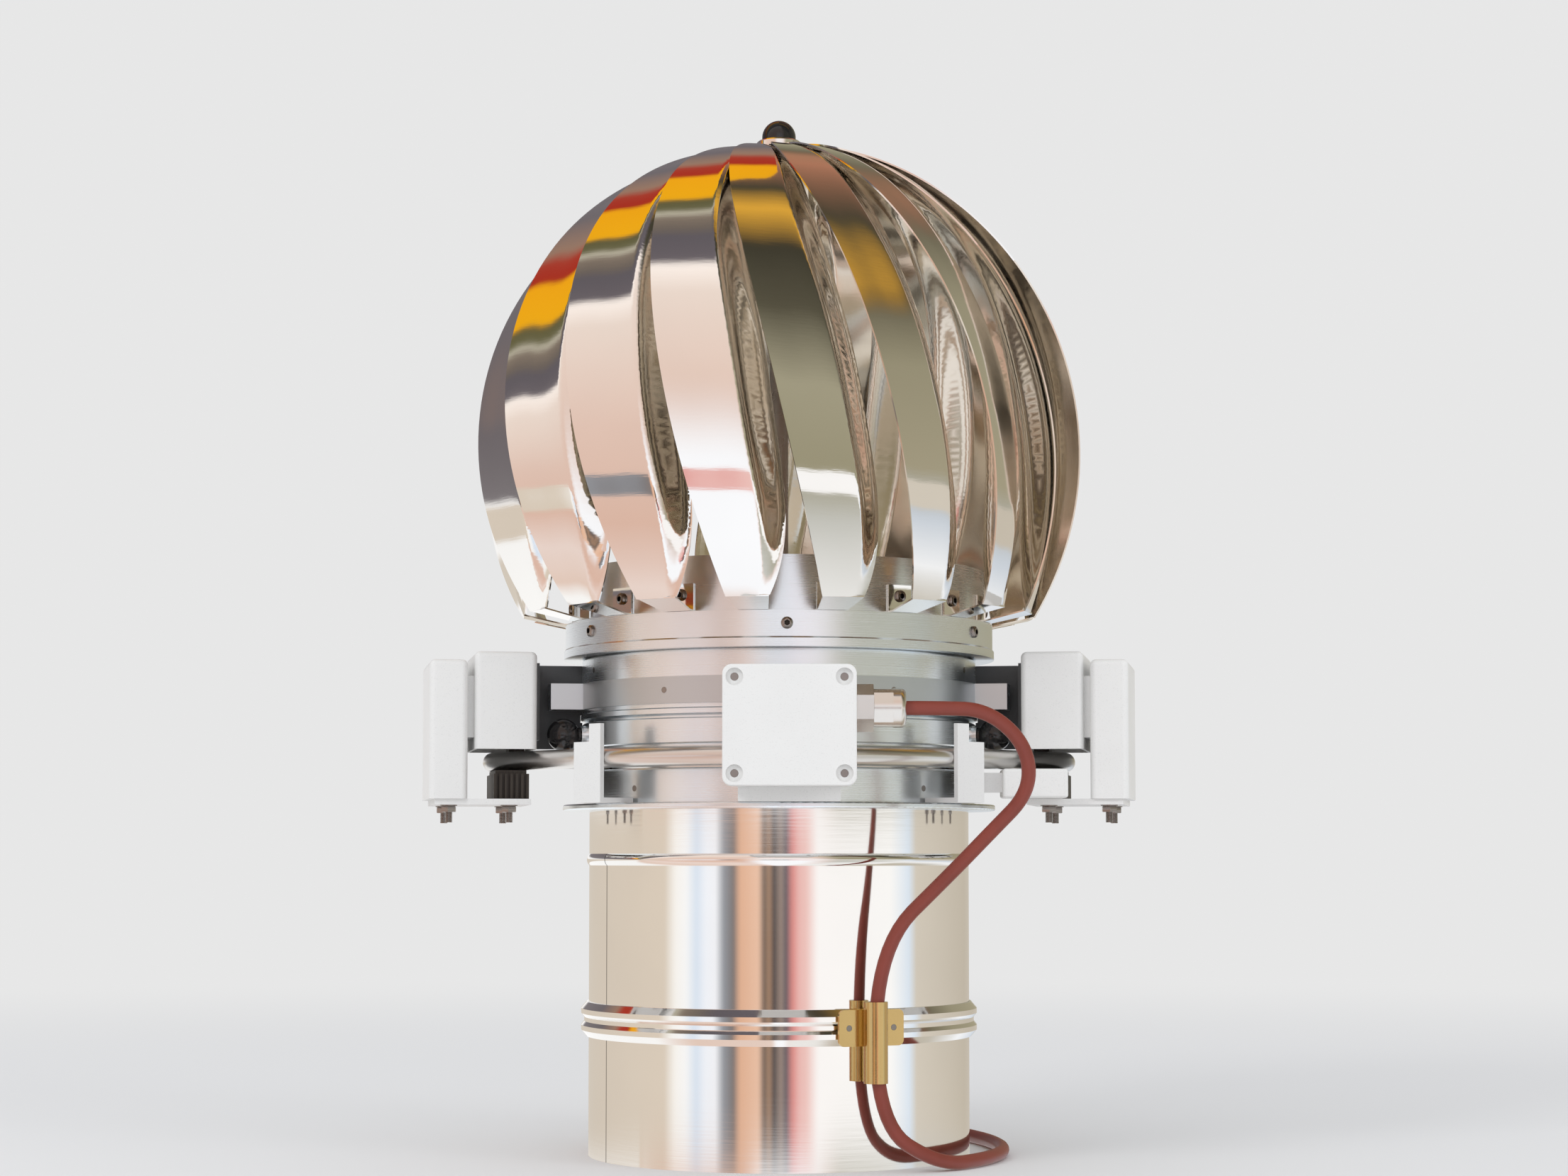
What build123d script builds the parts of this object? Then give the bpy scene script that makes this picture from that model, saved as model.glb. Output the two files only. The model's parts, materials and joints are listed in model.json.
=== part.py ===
from build123d import *
import math
import os

# Chimney draught fan: a turning globe of curved steel vanes on a stainless flue neck, with two
# drive units beside the collar, a front junction box, a conduit ring and a silicone lead.
# Frame: origin on the flue axis at the foot of the lower pipe, +Z up, -Y is the front.
# All lengths are millimetres and all angles are degrees.

# Running and assembly clearances
RUN_GAP = 1.0             # between the turning rotor and the fixed collar
FIT = 0.05                # radial play of a shaft or screw in its hole
SEAT = 0.1                # hairline between pieces that sit against each other

# Flue pipes and neck
PIPE_R = 100.0            # outside radius of flue and neck
PIPE_WALL = 0.8           # of the flue pipe below the joint band
NECK_WALL = 1.6           # of the fan's own pipe and neck above it
JOINT_Z = 71.0            # meeting plane of the two flue pipes
JOINT_LIP = 2.0           # how far the clamped pipe lips stand out
JOINT_LIP_T = 1.6
SOCKET_TOP_Z = 157.0      # top rim of the upper flue pipe
RIM_H = 6.0               # rolled rim at the top of the upper pipe
RIM_OUT = 1.3
SPIGOT_LENGTH = 40.0      # neck spigot inside the upper pipe

# Joint band over the two pipe lips
BAND_HALF_H = 9.0
BAND_OUT = 4.0
BAND_VALLEY = 1.6
BAND_EAR_REACH = 13.0
BAND_EAR_T = 2.5
BAND_EAR_SLOT = 4.0

# Flange and collars on the neck
FLANGE_Z = 179.5
FLANGE_OUT = 14.0         # reach of the flange beyond the neck
FLANGE_T = 3.0
LOWER_COLLAR_H = 17.5
LOWER_COLLAR_T = 3.2
SKIRT_Z = 205.0           # foot of the bearing collar's narrow part
SKIRT_WALL = 1.2
COLLAR_STEP_Z = 227.0     # where the bearing collar steps out
COLLAR_STEP_H = 3.0
COLLAR_OUT = 4.0          # of the bearing collar beyond the neck
COLLAR_WALL = 1.2
COLLAR_TOP_Z = 258.0
CLAMP_BAND_Z = 212.0
CLAMP_BAND_H = 13.0

# Strap round the front of the collar
STRAP_Z = 232.0
STRAP_H = 13.5
STRAP_T = 1.5
LUG_REACH = 18.0
LUG_WIDTH = 18.0

# Rotor ring, driven through the collar wall by its magnet ring
RING_OUT = 9.0            # of the rotor ring beyond the collar
RING_H = 13.0
RING_INNER_OUT = 3.4
RING_WALL = 1.2
RING_LIP_H = 5.0
RING_LIP_OUT = 0.8
RING_WALL_TOP_Z = 305.0
DRUM_IN = 5.6             # inside of the hanging drum, in from the collar's outside
DRUM_WALL = 1.6
DRUM_FOOT_Z = 232.0
MAGNET_Z = 236.0
MAGNET_H = 14.0
MAGNET_T = 1.9
RING_SCREWS = 6

# Vanes
VANE_COUNT = 18
GLOBE_R = 160.0
GLOBE_HALF_H = 165.0
VANE_T = 0.8
VANE_FIRST = -19.4        # outer edge of the first vane at the equator, from the front
LEAN_LINEAR = 0.24        # how the outer edge leans back with elevation
LEAN_CUBIC = 2e-5
VANE_FLAT = 0.6           # share of the width that is flat, from the outer edge
VANE_BEND = 0.38          # share of the inner edge's inset that the flat reaches
FOLD_RISE = 4.6           # of the folded foot from the ring out to the blade
TAB_WIDTH = 14.0
TAB_HEIGHT = 14.0
# Elevation on the globe, width as a share of the vane pitch, inset of the inner edge
VANE_STATIONS = [
    (-32.0, 0.46, 1.5),
    (-25.0, 0.70, 12.0),
    (-12.0, 0.87, 24.0),
    (5.0, 0.95, 29.0),
    (22.0, 1.02, 27.0),
    (40.0, 1.07, 18.0),
    (57.0, 1.20, 8.0),
    (70.0, 1.26, 3.8),
    (78.0, 0.98, 2.0),
    (82.5, 0.84, 0.3),
    (87.3, 0.70, 0.0),
]

# Spindle, bearings and spider
SPINDLE_R = 5.0
BEARING_R = 13.0
BEARING_H = 8.0
BEARING_RACE = 2.4
TUBE_WALL = 2.5
TUBE_FOOT_Z = 204.0
TUBE_TOP_Z = 300.0
BEARING_DEPTH = 2.0       # how far each bearing sits inside the tube's end
SPIDER_ARMS = 3
SPIDER_ARM_T = 4.0
SPIDER_ARM_H = 18.0
HUB_R = 22.0
HUB_T = 4.0
CAP_R = 12.0
CAP_T = 3.5
CAP_LIFT = 0.5            # of the cap above the top of the globe
HUB_DROP = 0.5            # of the hub below the vanes at the spindle
HUB_RIM_DROP = 1.2        # and at its rim, where the vanes begin to curl
NUT_R = 9.0
NUT_COLLAR_H = 2.5

# Drive units
UNIT_TURN = 10.0          # each unit stands this far forward of the side of the collar
COVER_OUT = 27.0          # inner face of the inner cover, beyond the collar
COVER_W = 32.0
COVER_L = 60.0
COVER_FOOT_Z = 210.5
COVER_H = 50.0
COVER_WALL = 1.5
COVER_CORNER = 3.0
SHIELD_GAP = 3.5          # between the inner cover and the outer shield
SHIELD_W = 19.5
SHIELD_L = 66.0
SHIELD_FOOT_Z = 185.0
SHIELD_H = 71.0
SHIELD_WALL = 1.5
PLATE_T = 3.0
PLATE_SET_BACK = 3.0      # of the base plate behind the cover's inner face
COIL_SET_BACK = 3.5
COIL_W = 18.0
COIL_L = 48.0
COIL_H = 13.0
COIL_FINS = 7
FIN_DEPTH = 2.0
YOKE_W = 8.0
YOKE_Y = 5.0
YOKE_L = 18.0
ARM_T = 4.0
ARM_Z = 212.0
ARM_H = 44.0
ARM_BACK = 12.0
STUD_R = 2.0
STUD_DROP = 9.0
NUT_H = 3.2
NUT_AF = 7.0

# Conduit and its brackets
CONDUIT_R = 5.0
CONDUIT_WALL = 1.0
CONDUIT_Z = 205.0
CONDUIT_RING_OUT = 15.5   # of the conduit's bend beyond the collar
CONDUIT_SIDE = 31.5       # of its straight ends beyond the bend
CONDUIT_END_R = 28.0
CONDUIT_END_RUN = 14.0    # from the last corner to each end
BRACKET_T = 2.5
BRACKET_W = 20.0
BRACKET_NECK_W = 8.5
BRACKET_STEP_Z = 213.0
BRACKET_TOP_Z = 222.0
FOOT_OUT = 5.0            # inner edge of the feet on the flange, beyond the neck
CONNECTOR_OUT = (13.0, 46.0)      # from the neck's outside to the right
CONNECTOR_NECK_OUT = 1.0
CONNECTOR_Y = (-73.0, -51.3)

# Junction box
BOX_X = 5.0
BOX_W = 63.0
BOX_H = 57.0
BOX_DEPTH = 30.0
BOX_Z = 218.0
BOX_WALL = 2.5
BOX_CORNER = 4.0
BOX_BOSS_R = 4.4
LID_T = 5.0
LID_OVER = 0.5
LID_SCREW_X = 26.2
LID_SCREW_Z = 23.0
BOX_PLATE_W = 50.0
BOX_PLATE_TOP_Z = 241.0

# Gland, lead and saddle
GLAND_Z = 226.9
GLAND_SET_BACK = 14.6     # from the body's front face
GLAND_AF = 20.0
GLAND_HEX_T = 9.0
GLAND_NUT_L = 15.6
GLAND_NUT_R = 9.5
GLAND_NUT_FLAT = 0.5      # depth of the six grips
GLAND_THREAD_R = 7.5
LEAD_R = 3.5
SADDLE_ANGLE = -64.3      # round the flue, from +X
SADDLE_TOP_Z = 84.0
SADDLE_FOOT_Z = 44.0
SADDLE_R = 6.0
SADDLE_PLATE_W = 36.0
SADDLE_PLATE_H = 18.0
SADDLE_PLATE_T = 1.5
SADDLE_SCREW_OUT = 12.4
COIL_X = 10.0
COIL_Y = 166.0
COIL_TURN_D = 84.0
COIL_PITCH = 7.2          # from turn to turn, sideways and upwards
COIL_STUB = 31.0          # straight entry of the lead into the coil
LEAD_LOOP = [             # points of the loop in the air, from the gland to above the saddle
    (77.1, -142.5, 226.9), (100.5, -141.0, 226.2), (119.5, -137.5, 209.5),
    (121.8, -132.5, 187.0), (103.0, -124.5, 167.3), (84.5, -117.5, 147.8),
]
LEAD_FLOOR = [            # points on the floor, round the right of the pipe to the back
    (79.0, -96.0), (106.0, -61.0), (118.0, -18.0), (115.0, 28.0), (101.0, 72.0), (84.0, 105.0),
]
LEAD_INTO_SADDLE = 26.5
LEAD_OUT_OF_SADDLE = 20.0
LEAD_LEAD_IN = 28.0       # straight run on the floor before the coil

# Ball knobs on the clamp band
KNOB_ANGLE = 15.0
KNOB_BALL_R = 8.5
KNOB_STUD_R = 2.5
KNOB_OUT = 12.0           # of the ball's centre beyond the collar
KNOB_NECK_R = 4.0
KNOB_BOSS_R = 5.0
KNOB_BOSS_REACH = 3.0

# Screws
SCREW_R = 1.5
SCREW_HEAD_R = 3.0
SCREW_HEAD_T = 1.8
LID_SCREW_R = 1.9
LID_SCREW_HEAD_R = 4.0
LID_SCREW_L = 18.0

# Heights and radii that follow from the values above
FRONT = -90.0             # direction of the front, from +X
FLANGE_R = PIPE_R + FLANGE_OUT
FLANGE_TOP_Z = FLANGE_Z + FLANGE_T
COLLAR_R = PIPE_R + COLLAR_OUT
COLLAR_BORE_R = COLLAR_R - COLLAR_WALL
NECK_INNER_R = PIPE_R - NECK_WALL
LIP_Z = COLLAR_TOP_Z + RUN_GAP
RING_Z = LIP_Z + RING_LIP_H
RING_TOP_Z = RING_Z + RING_H
RING_R = COLLAR_R + RING_OUT
RING_INNER_R = COLLAR_R + RING_INNER_OUT
RING_WALL_R = RING_INNER_R + RING_WALL
DRUM_R = COLLAR_R - DRUM_IN
DRUM_OUT_R = DRUM_R + DRUM_WALL
FOOT_IN = PIPE_R + FOOT_OUT
COVER_IN = COLLAR_R + COVER_OUT
PLATE_IN = COVER_IN + PLATE_SET_BACK
COIL_IN = COVER_IN + COIL_SET_BACK
CONDUIT_RING_R = COLLAR_R + CONDUIT_RING_OUT
CONDUIT_REACH = CONDUIT_RING_R + CONDUIT_SIDE
KNOB_REACH = COLLAR_R + KNOB_OUT
KNOB_BOSS_OUT = COLLAR_R + KNOB_BOSS_REACH
SADDLE_AXIS_R = PIPE_R + BAND_OUT + SEAT + SADDLE_R
TUBE_R = BEARING_R + TUBE_WALL
GLOBE_Z = RING_TOP_Z + FOLD_RISE - GLOBE_HALF_H * math.sin(math.radians(VANE_STATIONS[0][0]))
CAP_Z = GLOBE_Z + GLOBE_HALF_H + CAP_LIFT
BODY_BACK_Y = -(CONDUIT_RING_R + CONDUIT_R + SEAT + BRACKET_T)
BODY_FRONT_Y = BODY_BACK_Y - BOX_DEPTH
UNIT_SIDES = {"right": 1, "left": -1}


def ring(r_out, r_in, z, height):
    return Pos(0, 0, z) * extrude(Circle(r_out) - Circle(r_in), height)


def turned(outline):
    """A piece turned about the flue axis from (radius, height) points."""
    return revolve(make_face(Plane.XZ * Polyline(*outline, close=True)), Axis.Z)


def block(x, y, z):
    """A box from its lower and upper bounds along each axis."""
    return Pos(x[0], y[0], z[0]) * Box(
        x[1] - x[0], y[1] - y[0], z[1] - z[0], align=(Align.MIN, Align.MIN, Align.MIN)
    )


def rod(start, direction, radius, length):
    """A round rod from a point along a direction."""
    return extrude(Plane(origin=start, z_dir=direction) * Circle(radius), length)


def outward(angle):
    """Horizontal unit vector that points away from the flue axis."""
    return Vector(math.cos(math.radians(angle)), math.sin(math.radians(angle)), 0)


def on_radius(angle, radius, z):
    return outward(angle) * radius + Vector(0, 0, z)


def radial_screw(angle, seat_r, z, grip):
    """A pan-head screw whose head sits on seat_r and whose shank runs inwards by grip."""
    head = rod(on_radius(angle, seat_r, z), outward(angle), SCREW_HEAD_R, SCREW_HEAD_T)
    shank = rod(on_radius(angle, seat_r, z), outward(angle) * -1, SCREW_R, grip)
    return head + shank


def radial_hole(angle, from_r, to_r, z, radius=SCREW_R + FIT):
    return rod(on_radius(angle, from_r, z), outward(angle), radius, to_r - from_r)


def beside(shape, side):
    """Place a shape that was drawn for a unit on +X at the left or the right of the collar."""
    placed = Rot(0, 0, -UNIT_TURN) * shape
    return placed if side > 0 else mirror(placed, about=Plane.YZ)


# Flue pipes, joint band, neck and flange

def flue_pipe_lower():
    inner = PIPE_R - PIPE_WALL
    top = JOINT_Z - SEAT / 2
    lip = PIPE_R + JOINT_LIP
    return turned([
        (inner, 0), (PIPE_R, 0), (PIPE_R, top - JOINT_LIP_T), (lip, top - JOINT_LIP_T),
        (lip, top), (inner, top),
    ])


def flue_pipe_upper():
    """Upper pipe with a lip for the band at its foot and a rolled rim at its top."""
    foot = JOINT_Z + SEAT / 2
    lip = PIPE_R + JOINT_LIP
    rim = SOCKET_TOP_Z - RIM_H
    walls = Polyline(
        (PIPE_R, rim), (PIPE_R, foot + JOINT_LIP_T), (lip, foot + JOINT_LIP_T), (lip, foot),
        (NECK_INNER_R, foot), (NECK_INNER_R, SOCKET_TOP_Z), (PIPE_R, SOCKET_TOP_Z),
    )
    rolled = ThreePointArc((PIPE_R, SOCKET_TOP_Z), (PIPE_R + RIM_OUT, rim + RIM_H / 2), (PIPE_R, rim))
    return revolve(make_face(Plane.XZ * (walls + rolled)), Axis.Z)


def joint_band():
    """V-section locking band with two ridges, closed by a screw between ears at the back."""
    lip = PIPE_R + JOINT_LIP + SEAT
    groove = JOINT_LIP_T + SEAT * 2
    out = PIPE_R + BAND_OUT
    inner = PIPE_R + SEAT
    z = JOINT_Z
    band = turned([
        (inner, z - BAND_HALF_H), (inner + 1.0, z - BAND_HALF_H), (out, z - BAND_HALF_H * 0.62),
        (out, z - BAND_HALF_H * 0.34), (out - BAND_VALLEY, z - BAND_HALF_H * 0.12),
        (out - BAND_VALLEY, z + BAND_HALF_H * 0.12), (out, z + BAND_HALF_H * 0.34),
        (out, z + BAND_HALF_H * 0.62), (inner + 1.0, z + BAND_HALF_H), (inner, z + BAND_HALF_H),
        (inner, z + groove), (lip, z + groove), (lip, z - groove), (inner, z - groove),
    ])
    ear_y = (out - 0.5 * BAND_OUT, out + BAND_EAR_REACH)
    half = BAND_EAR_SLOT / 2
    ears = [
        block((x, x + BAND_EAR_T), ear_y, (z - BAND_HALF_H * 0.6, z + BAND_HALF_H * 0.6))
        for x in (-half - BAND_EAR_T, half)
    ]
    slot = block((-half, half), (inner - 1, ear_y[1] + 1), (z - BAND_HALF_H - 1, z + BAND_HALF_H + 1))
    hole = rod(band_screw_start(), (1, 0, 0), SCREW_R + FIT, 2 * (half + BAND_EAR_T))
    return band + ears[0] + ears[1] - slot - hole


def band_screw_start():
    half = BAND_EAR_SLOT / 2 + BAND_EAR_T
    return Vector(-half, PIPE_R + BAND_OUT + BAND_EAR_REACH * 0.6, JOINT_Z)


def band_screw():
    start = band_screw_start()
    grip = 2 * (BAND_EAR_SLOT / 2 + BAND_EAR_T)
    end = start + Vector(grip, 0, 0)
    head = rod(start, (-1, 0, 0), SCREW_HEAD_R, SCREW_HEAD_T)
    nut = rod(end, (1, 0, 0), SCREW_HEAD_R, SCREW_HEAD_T)
    return head + rod(start, (1, 0, 0), SCREW_R, grip) + nut


def neck_sleeve():
    """Neck of the fan: a full-size sleeve with a reduced spigot that enters the flue pipe."""
    spigot = NECK_INNER_R - SEAT
    step = SOCKET_TOP_Z + SEAT
    inner = spigot - NECK_WALL
    return turned([
        (inner, SOCKET_TOP_Z - SPIGOT_LENGTH), (spigot, SOCKET_TOP_Z - SPIGOT_LENGTH),
        (spigot, step), (PIPE_R, step), (PIPE_R, COLLAR_STEP_Z),
        (NECK_INNER_R, COLLAR_STEP_Z), (NECK_INNER_R, step + NECK_WALL),
        (inner, step + NECK_WALL),
    ])


def mount_flange():
    flange = ring(FLANGE_R, PIPE_R + SEAT, FLANGE_Z, FLANGE_T)
    flange = fillet(flange.edges().filter_by(GeomType.CIRCLE).sort_by(SortBy.RADIUS)[-2:], 0.8)
    for point in foot_screw_points():
        foot = point - Vector(0, 0, FLANGE_T + BRACKET_T)
        flange -= rod(foot, (0, 0, 1), SCREW_R + FIT, FLANGE_T + BRACKET_T)
    return flange


def lower_collar():
    collar = ring(PIPE_R + LOWER_COLLAR_T, PIPE_R + SEAT, FLANGE_TOP_Z, LOWER_COLLAR_H)
    rim = collar.edges().group_by(Axis.Z)[-1].sort_by(SortBy.RADIUS)[-1]
    collar = chamfer(rim, 0.8)
    for angle in collar_screw_angles():
        collar -= radial_hole(angle, PIPE_R - 2, PIPE_R + 8, lower_screw_z())
    return collar


def collar_screw_angles():
    return [45 + 90 * i for i in range(4)]


def lower_screw_z():
    return FLANGE_TOP_Z + LOWER_COLLAR_H * 0.42


# Bearing collar, clamp band and strap

def bearing_collar():
    """Spun collar: a narrow skirt on the neck, a stepped bead and the wide drum above."""
    inner = PIPE_R + SEAT
    skirt = PIPE_R + SEAT + SKIRT_WALL
    step_top = COLLAR_STEP_Z + COLLAR_STEP_H
    collar = turned([
        (inner, SKIRT_Z), (skirt, SKIRT_Z), (skirt, COLLAR_STEP_Z - 1.0),
        (COLLAR_R + 0.9, COLLAR_STEP_Z), (COLLAR_R + 0.9, step_top - 0.6), (COLLAR_R, step_top),
        (COLLAR_R, COLLAR_TOP_Z), (COLLAR_BORE_R, COLLAR_TOP_Z), (COLLAR_BORE_R, step_top),
        (inner, COLLAR_STEP_Z + SKIRT_WALL),
    ])
    for side in UNIT_SIDES.values():
        collar -= radial_hole(unit_angle(side), COLLAR_BORE_R - 1, COLLAR_R + 2, lug_screw_z(),
                              STUD_R + FIT)
    for angle in strap_screw_angles():
        collar -= radial_hole(angle, COLLAR_BORE_R - 1, COLLAR_R + 2, lug_screw_z())
    for angle in upper_screw_angles():
        collar -= radial_hole(angle, COLLAR_BORE_R - 1, COLLAR_R + 2, upper_screw_z())
    return collar


def unit_angle(side):
    return -UNIT_TURN if side > 0 else 180 + UNIT_TURN


def lug_screw_z():
    return STRAP_Z + STRAP_H / 2


def strap_screw_angles():
    return [-123.0, -57.0]


def upper_screw_angles():
    return [-157.0, -23.0, 67.0, 113.0]


def upper_screw_z():
    return (STRAP_Z + STRAP_H + COLLAR_TOP_Z) / 2


def clamp_band():
    inner = PIPE_R + SEAT + SKIRT_WALL + SEAT
    band = ring(COLLAR_R, inner, CLAMP_BAND_Z, CLAMP_BAND_H)
    rims = band.edges().filter_by(GeomType.CIRCLE).sort_by(SortBy.RADIUS)[-2:]
    band = chamfer(rims, 0.6)
    for angle in knob_angles():
        z = knob_z()
        band += rod(on_radius(angle, inner + 1, z), outward(angle), KNOB_BOSS_R,
                    KNOB_BOSS_OUT - inner - 1)
        band -= radial_hole(angle, inner - 2, KNOB_BOSS_OUT + 1, z, KNOB_STUD_R + FIT)
    return band


def knob_z():
    return CLAMP_BAND_Z + CLAMP_BAND_H / 2


def knob_angles():
    return [-KNOB_ANGLE, 180 + KNOB_ANGLE]


def knob(angle):
    """Ball knob on its clamping stud."""
    z = knob_z()
    tip = PIPE_R + SKIRT_WALL + 4 * SEAT
    stud = rod(on_radius(angle, tip, z), outward(angle), KNOB_STUD_R, KNOB_REACH - tip)
    neck_start = KNOB_BOSS_OUT + 2 * SEAT
    neck = rod(on_radius(angle, neck_start, z), outward(angle), KNOB_NECK_R, KNOB_REACH - neck_start)
    place = on_radius(angle, KNOB_REACH, z)
    ball = Pos(place.X, place.Y, place.Z) * Sphere(KNOB_BALL_R)
    return stud + neck + ball


def strap():
    """Flat strap round the front half, bent outwards at each end into a lug for the drive arm."""
    inner = COLLAR_R + SEAT
    outer = inner + STRAP_T
    half = LUG_WIDTH / 2
    band = ring(outer, inner, STRAP_Z, STRAP_H)
    z = (STRAP_Z, STRAP_Z + STRAP_H)
    wide = 2 * COLLAR_R
    behind = block((-wide, wide), (0, wide), z)
    for side in UNIT_SIDES.values():
        behind += beside(block((0, wide), (-half, wide), z), side)
    band -= behind
    for side in UNIT_SIDES.values():
        reach = COLLAR_R + LUG_REACH
        leg = block((inner * math.cos(math.asin(half / inner)), reach), (-half, -half + STRAP_T), z)
        face = block((reach - STRAP_T, reach), (-half, half), z)
        lug = fillet((leg + face).edges().filter_by(Axis.Z).sort_by(Axis.X)[-2:-1], 1.2)
        band += beside(lug, side)
        band -= radial_hole(unit_angle(side), COLLAR_R + 5, reach + 1, lug_screw_z(), STUD_R + FIT)
    band -= ring(inner, COLLAR_BORE_R, STRAP_Z, STRAP_H)
    for angle in strap_screw_angles():
        band -= radial_hole(angle, COLLAR_R - 1, COLLAR_R + 4, lug_screw_z())
    return band


def lug_screws():
    seat = COLLAR_R + LUG_REACH
    grip = seat - COLLAR_BORE_R - SEAT
    screws = []
    for side in UNIT_SIDES.values():
        angle = unit_angle(side)
        head = rod(on_radius(angle, seat, lug_screw_z()), outward(angle), SCREW_HEAD_R + 0.5, 2.4)
        shank = rod(on_radius(angle, seat - grip, lug_screw_z()), outward(angle), STUD_R, grip)
        screws.append(head + shank)
    return screws


def fixed_screws():
    """Small pan-head screws of the fixed parts, in one group."""
    screws = lug_screws() + [band_screw()]
    for angle in collar_screw_angles():
        screws.append(radial_screw(angle, PIPE_R + LOWER_COLLAR_T, lower_screw_z(), LOWER_COLLAR_T - 2 * SEAT))
    for angle in strap_screw_angles():
        screws.append(radial_screw(angle, COLLAR_R + SEAT + STRAP_T, lug_screw_z(), STRAP_T + COLLAR_WALL))
    for angle in upper_screw_angles():
        screws.append(radial_screw(angle, COLLAR_R, upper_screw_z(), COLLAR_WALL))
    for point in foot_screw_points():
        head = rod(point, (0, 0, 1), SCREW_HEAD_R, SCREW_HEAD_T)
        screws.append(head + rod(point, (0, 0, -1), SCREW_R, FLANGE_T + BRACKET_T))
    for offset in (-SADDLE_SCREW_OUT, SADDLE_SCREW_OUT):
        start = saddle_point(PIPE_R + BAND_OUT + SEAT + SADDLE_PLATE_T, offset, JOINT_Z)
        head = rod(start, outward(SADDLE_ANGLE), SCREW_HEAD_R, SCREW_HEAD_T)
        screws.append(head + rod(start, outward(SADDLE_ANGLE) * -1, SCREW_R, SADDLE_PLATE_T))
    return Compound(children=[screw.solid() for screw in screws])


# Rotor

def globe_point(elevation, inset=0.0):
    """Radius and height on the globe, set in along its normal."""
    angle = math.radians(elevation)
    radius = GLOBE_R * math.cos(angle)
    height = GLOBE_Z + GLOBE_HALF_H * math.sin(angle)
    normal = Vector(math.cos(angle) / GLOBE_R, math.sin(angle) / GLOBE_HALF_H, 0).normalized()
    return radius - inset * normal.X, height - inset * normal.Y


def vane_angle(elevation, share):
    """Direction from the flue axis of a point at a share of the pitch behind the outer edge."""
    lean = LEAN_LINEAR * elevation + LEAN_CUBIC * elevation ** 3
    return VANE_FIRST + FRONT - lean + share * 360 / VANE_COUNT


def vane_row(elevation, share, inset):
    """Points across the vane: flat from the outer edge, then curling in behind the next vane."""
    def point(across, depth):
        radius, height = globe_point(elevation, inset * depth)
        return on_radius(vane_angle(elevation, share * across), radius, height)

    outer = point(0, 0)
    bend = point(VANE_FLAT, VANE_BEND)
    flat = [outer + (bend - outer) * (step / 3) for step in range(4)]
    return flat + [point((1 + VANE_FLAT) / 2, (1 + VANE_BEND) / 2), point(1, 1)]


def vane_blade():
    """Rolled strip whose outer edge lies on the globe."""
    face = Face.make_surface_from_array_of_points([vane_row(*station) for station in VANE_STATIONS])
    middle = face.center()
    inwards = -1 if face.normal_at(middle).dot(Vector(middle.X, middle.Y, 0)) > 0 else 1
    return thicken(face, inwards * VANE_T)


def vane_tab_angle():
    elevation, share, inset = VANE_STATIONS[0]
    return vane_angle(elevation, share / 2)


def vane():
    """One vane: the curled blade, folded in over the ring and up against its wall."""
    elevation, share, inset = VANE_STATIONS[0]
    foot_r = globe_point(elevation)[0] - VANE_T * 0.8
    mid = vane_tab_angle()
    half_out = foot_r * math.radians(share * 180 / VANE_COUNT) * 0.96
    half_in = TAB_WIDTH / 2
    inner = RING_WALL_R + SEAT
    crease = RING_R + VANE_T
    z = RING_TOP_Z + SEAT
    plan = Polyline((inner, -half_in), (foot_r, -half_out), (foot_r, half_out), (inner, half_in), close=True)
    slope = turned([
        (inner, z), (crease, z), (foot_r, z + FOLD_RISE), (foot_r, z + FOLD_RISE + VANE_T),
        (crease, z + VANE_T), (inner, z + VANE_T),
    ])
    fold = slope & Pos(0, 0, z) * extrude(make_face(plan), FOLD_RISE + VANE_T)
    upright = block((inner - 2, inner + VANE_T), (-half_in, half_in), (z, z + TAB_HEIGHT))
    upright -= ring(inner, RING_INNER_R - 2, z, TAB_HEIGHT)
    tab = Rot(0, 0, mid) * (fold + upright)
    tab -= radial_hole(mid, inner - 1, inner + 4, vane_screw_z())
    return vane_blade() + tab


def vane_screw_z():
    return RING_TOP_Z + SEAT + TAB_HEIGHT * 0.6


def ring_screw_angles():
    return [FRONT + 2.0 + 360 / RING_SCREWS * i for i in range(RING_SCREWS)]


def rotor_ring():
    """Turned ring with a thin wall for the vane tabs and a drum that hangs inside the collar."""
    band = turned([
        (DRUM_R, DRUM_FOOT_Z), (DRUM_OUT_R, DRUM_FOOT_Z), (DRUM_OUT_R, LIP_Z),
        (RING_R + RING_LIP_OUT, LIP_Z), (RING_R + RING_LIP_OUT, RING_Z - 0.8), (RING_R, RING_Z),
        (RING_R, RING_TOP_Z), (RING_WALL_R, RING_TOP_Z), (RING_WALL_R, RING_WALL_TOP_Z),
        (RING_INNER_R, RING_WALL_TOP_Z), (RING_INNER_R, LIP_Z + RING_WALL), (DRUM_R, LIP_Z + RING_WALL),
    ])
    for i in range(VANE_COUNT):
        angle = vane_tab_angle() + 360 / VANE_COUNT * i
        band -= radial_hole(angle, RING_INNER_R - 1, RING_WALL_R + 1, vane_screw_z())
    for angle in ring_screw_angles():
        band -= radial_hole(angle, RING_INNER_R - 1, RING_R + 1, ring_screw_z())
    return band


def ring_screw_z():
    return RING_Z + RING_H / 2


def rotor_screws():
    """Screws of the vane tabs and of the ring, in one group."""
    screws = []
    tab_seat = RING_WALL_R + SEAT + VANE_T
    for i in range(VANE_COUNT):
        angle = vane_tab_angle() + 360 / VANE_COUNT * i
        screws.append(radial_screw(angle, tab_seat + SEAT, vane_screw_z(), tab_seat - RING_INNER_R))
    for angle in ring_screw_angles():
        screws.append(radial_screw(angle, RING_R, ring_screw_z(), RING_R - RING_INNER_R))
    return Compound(children=[screw.solid() for screw in screws])


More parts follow.
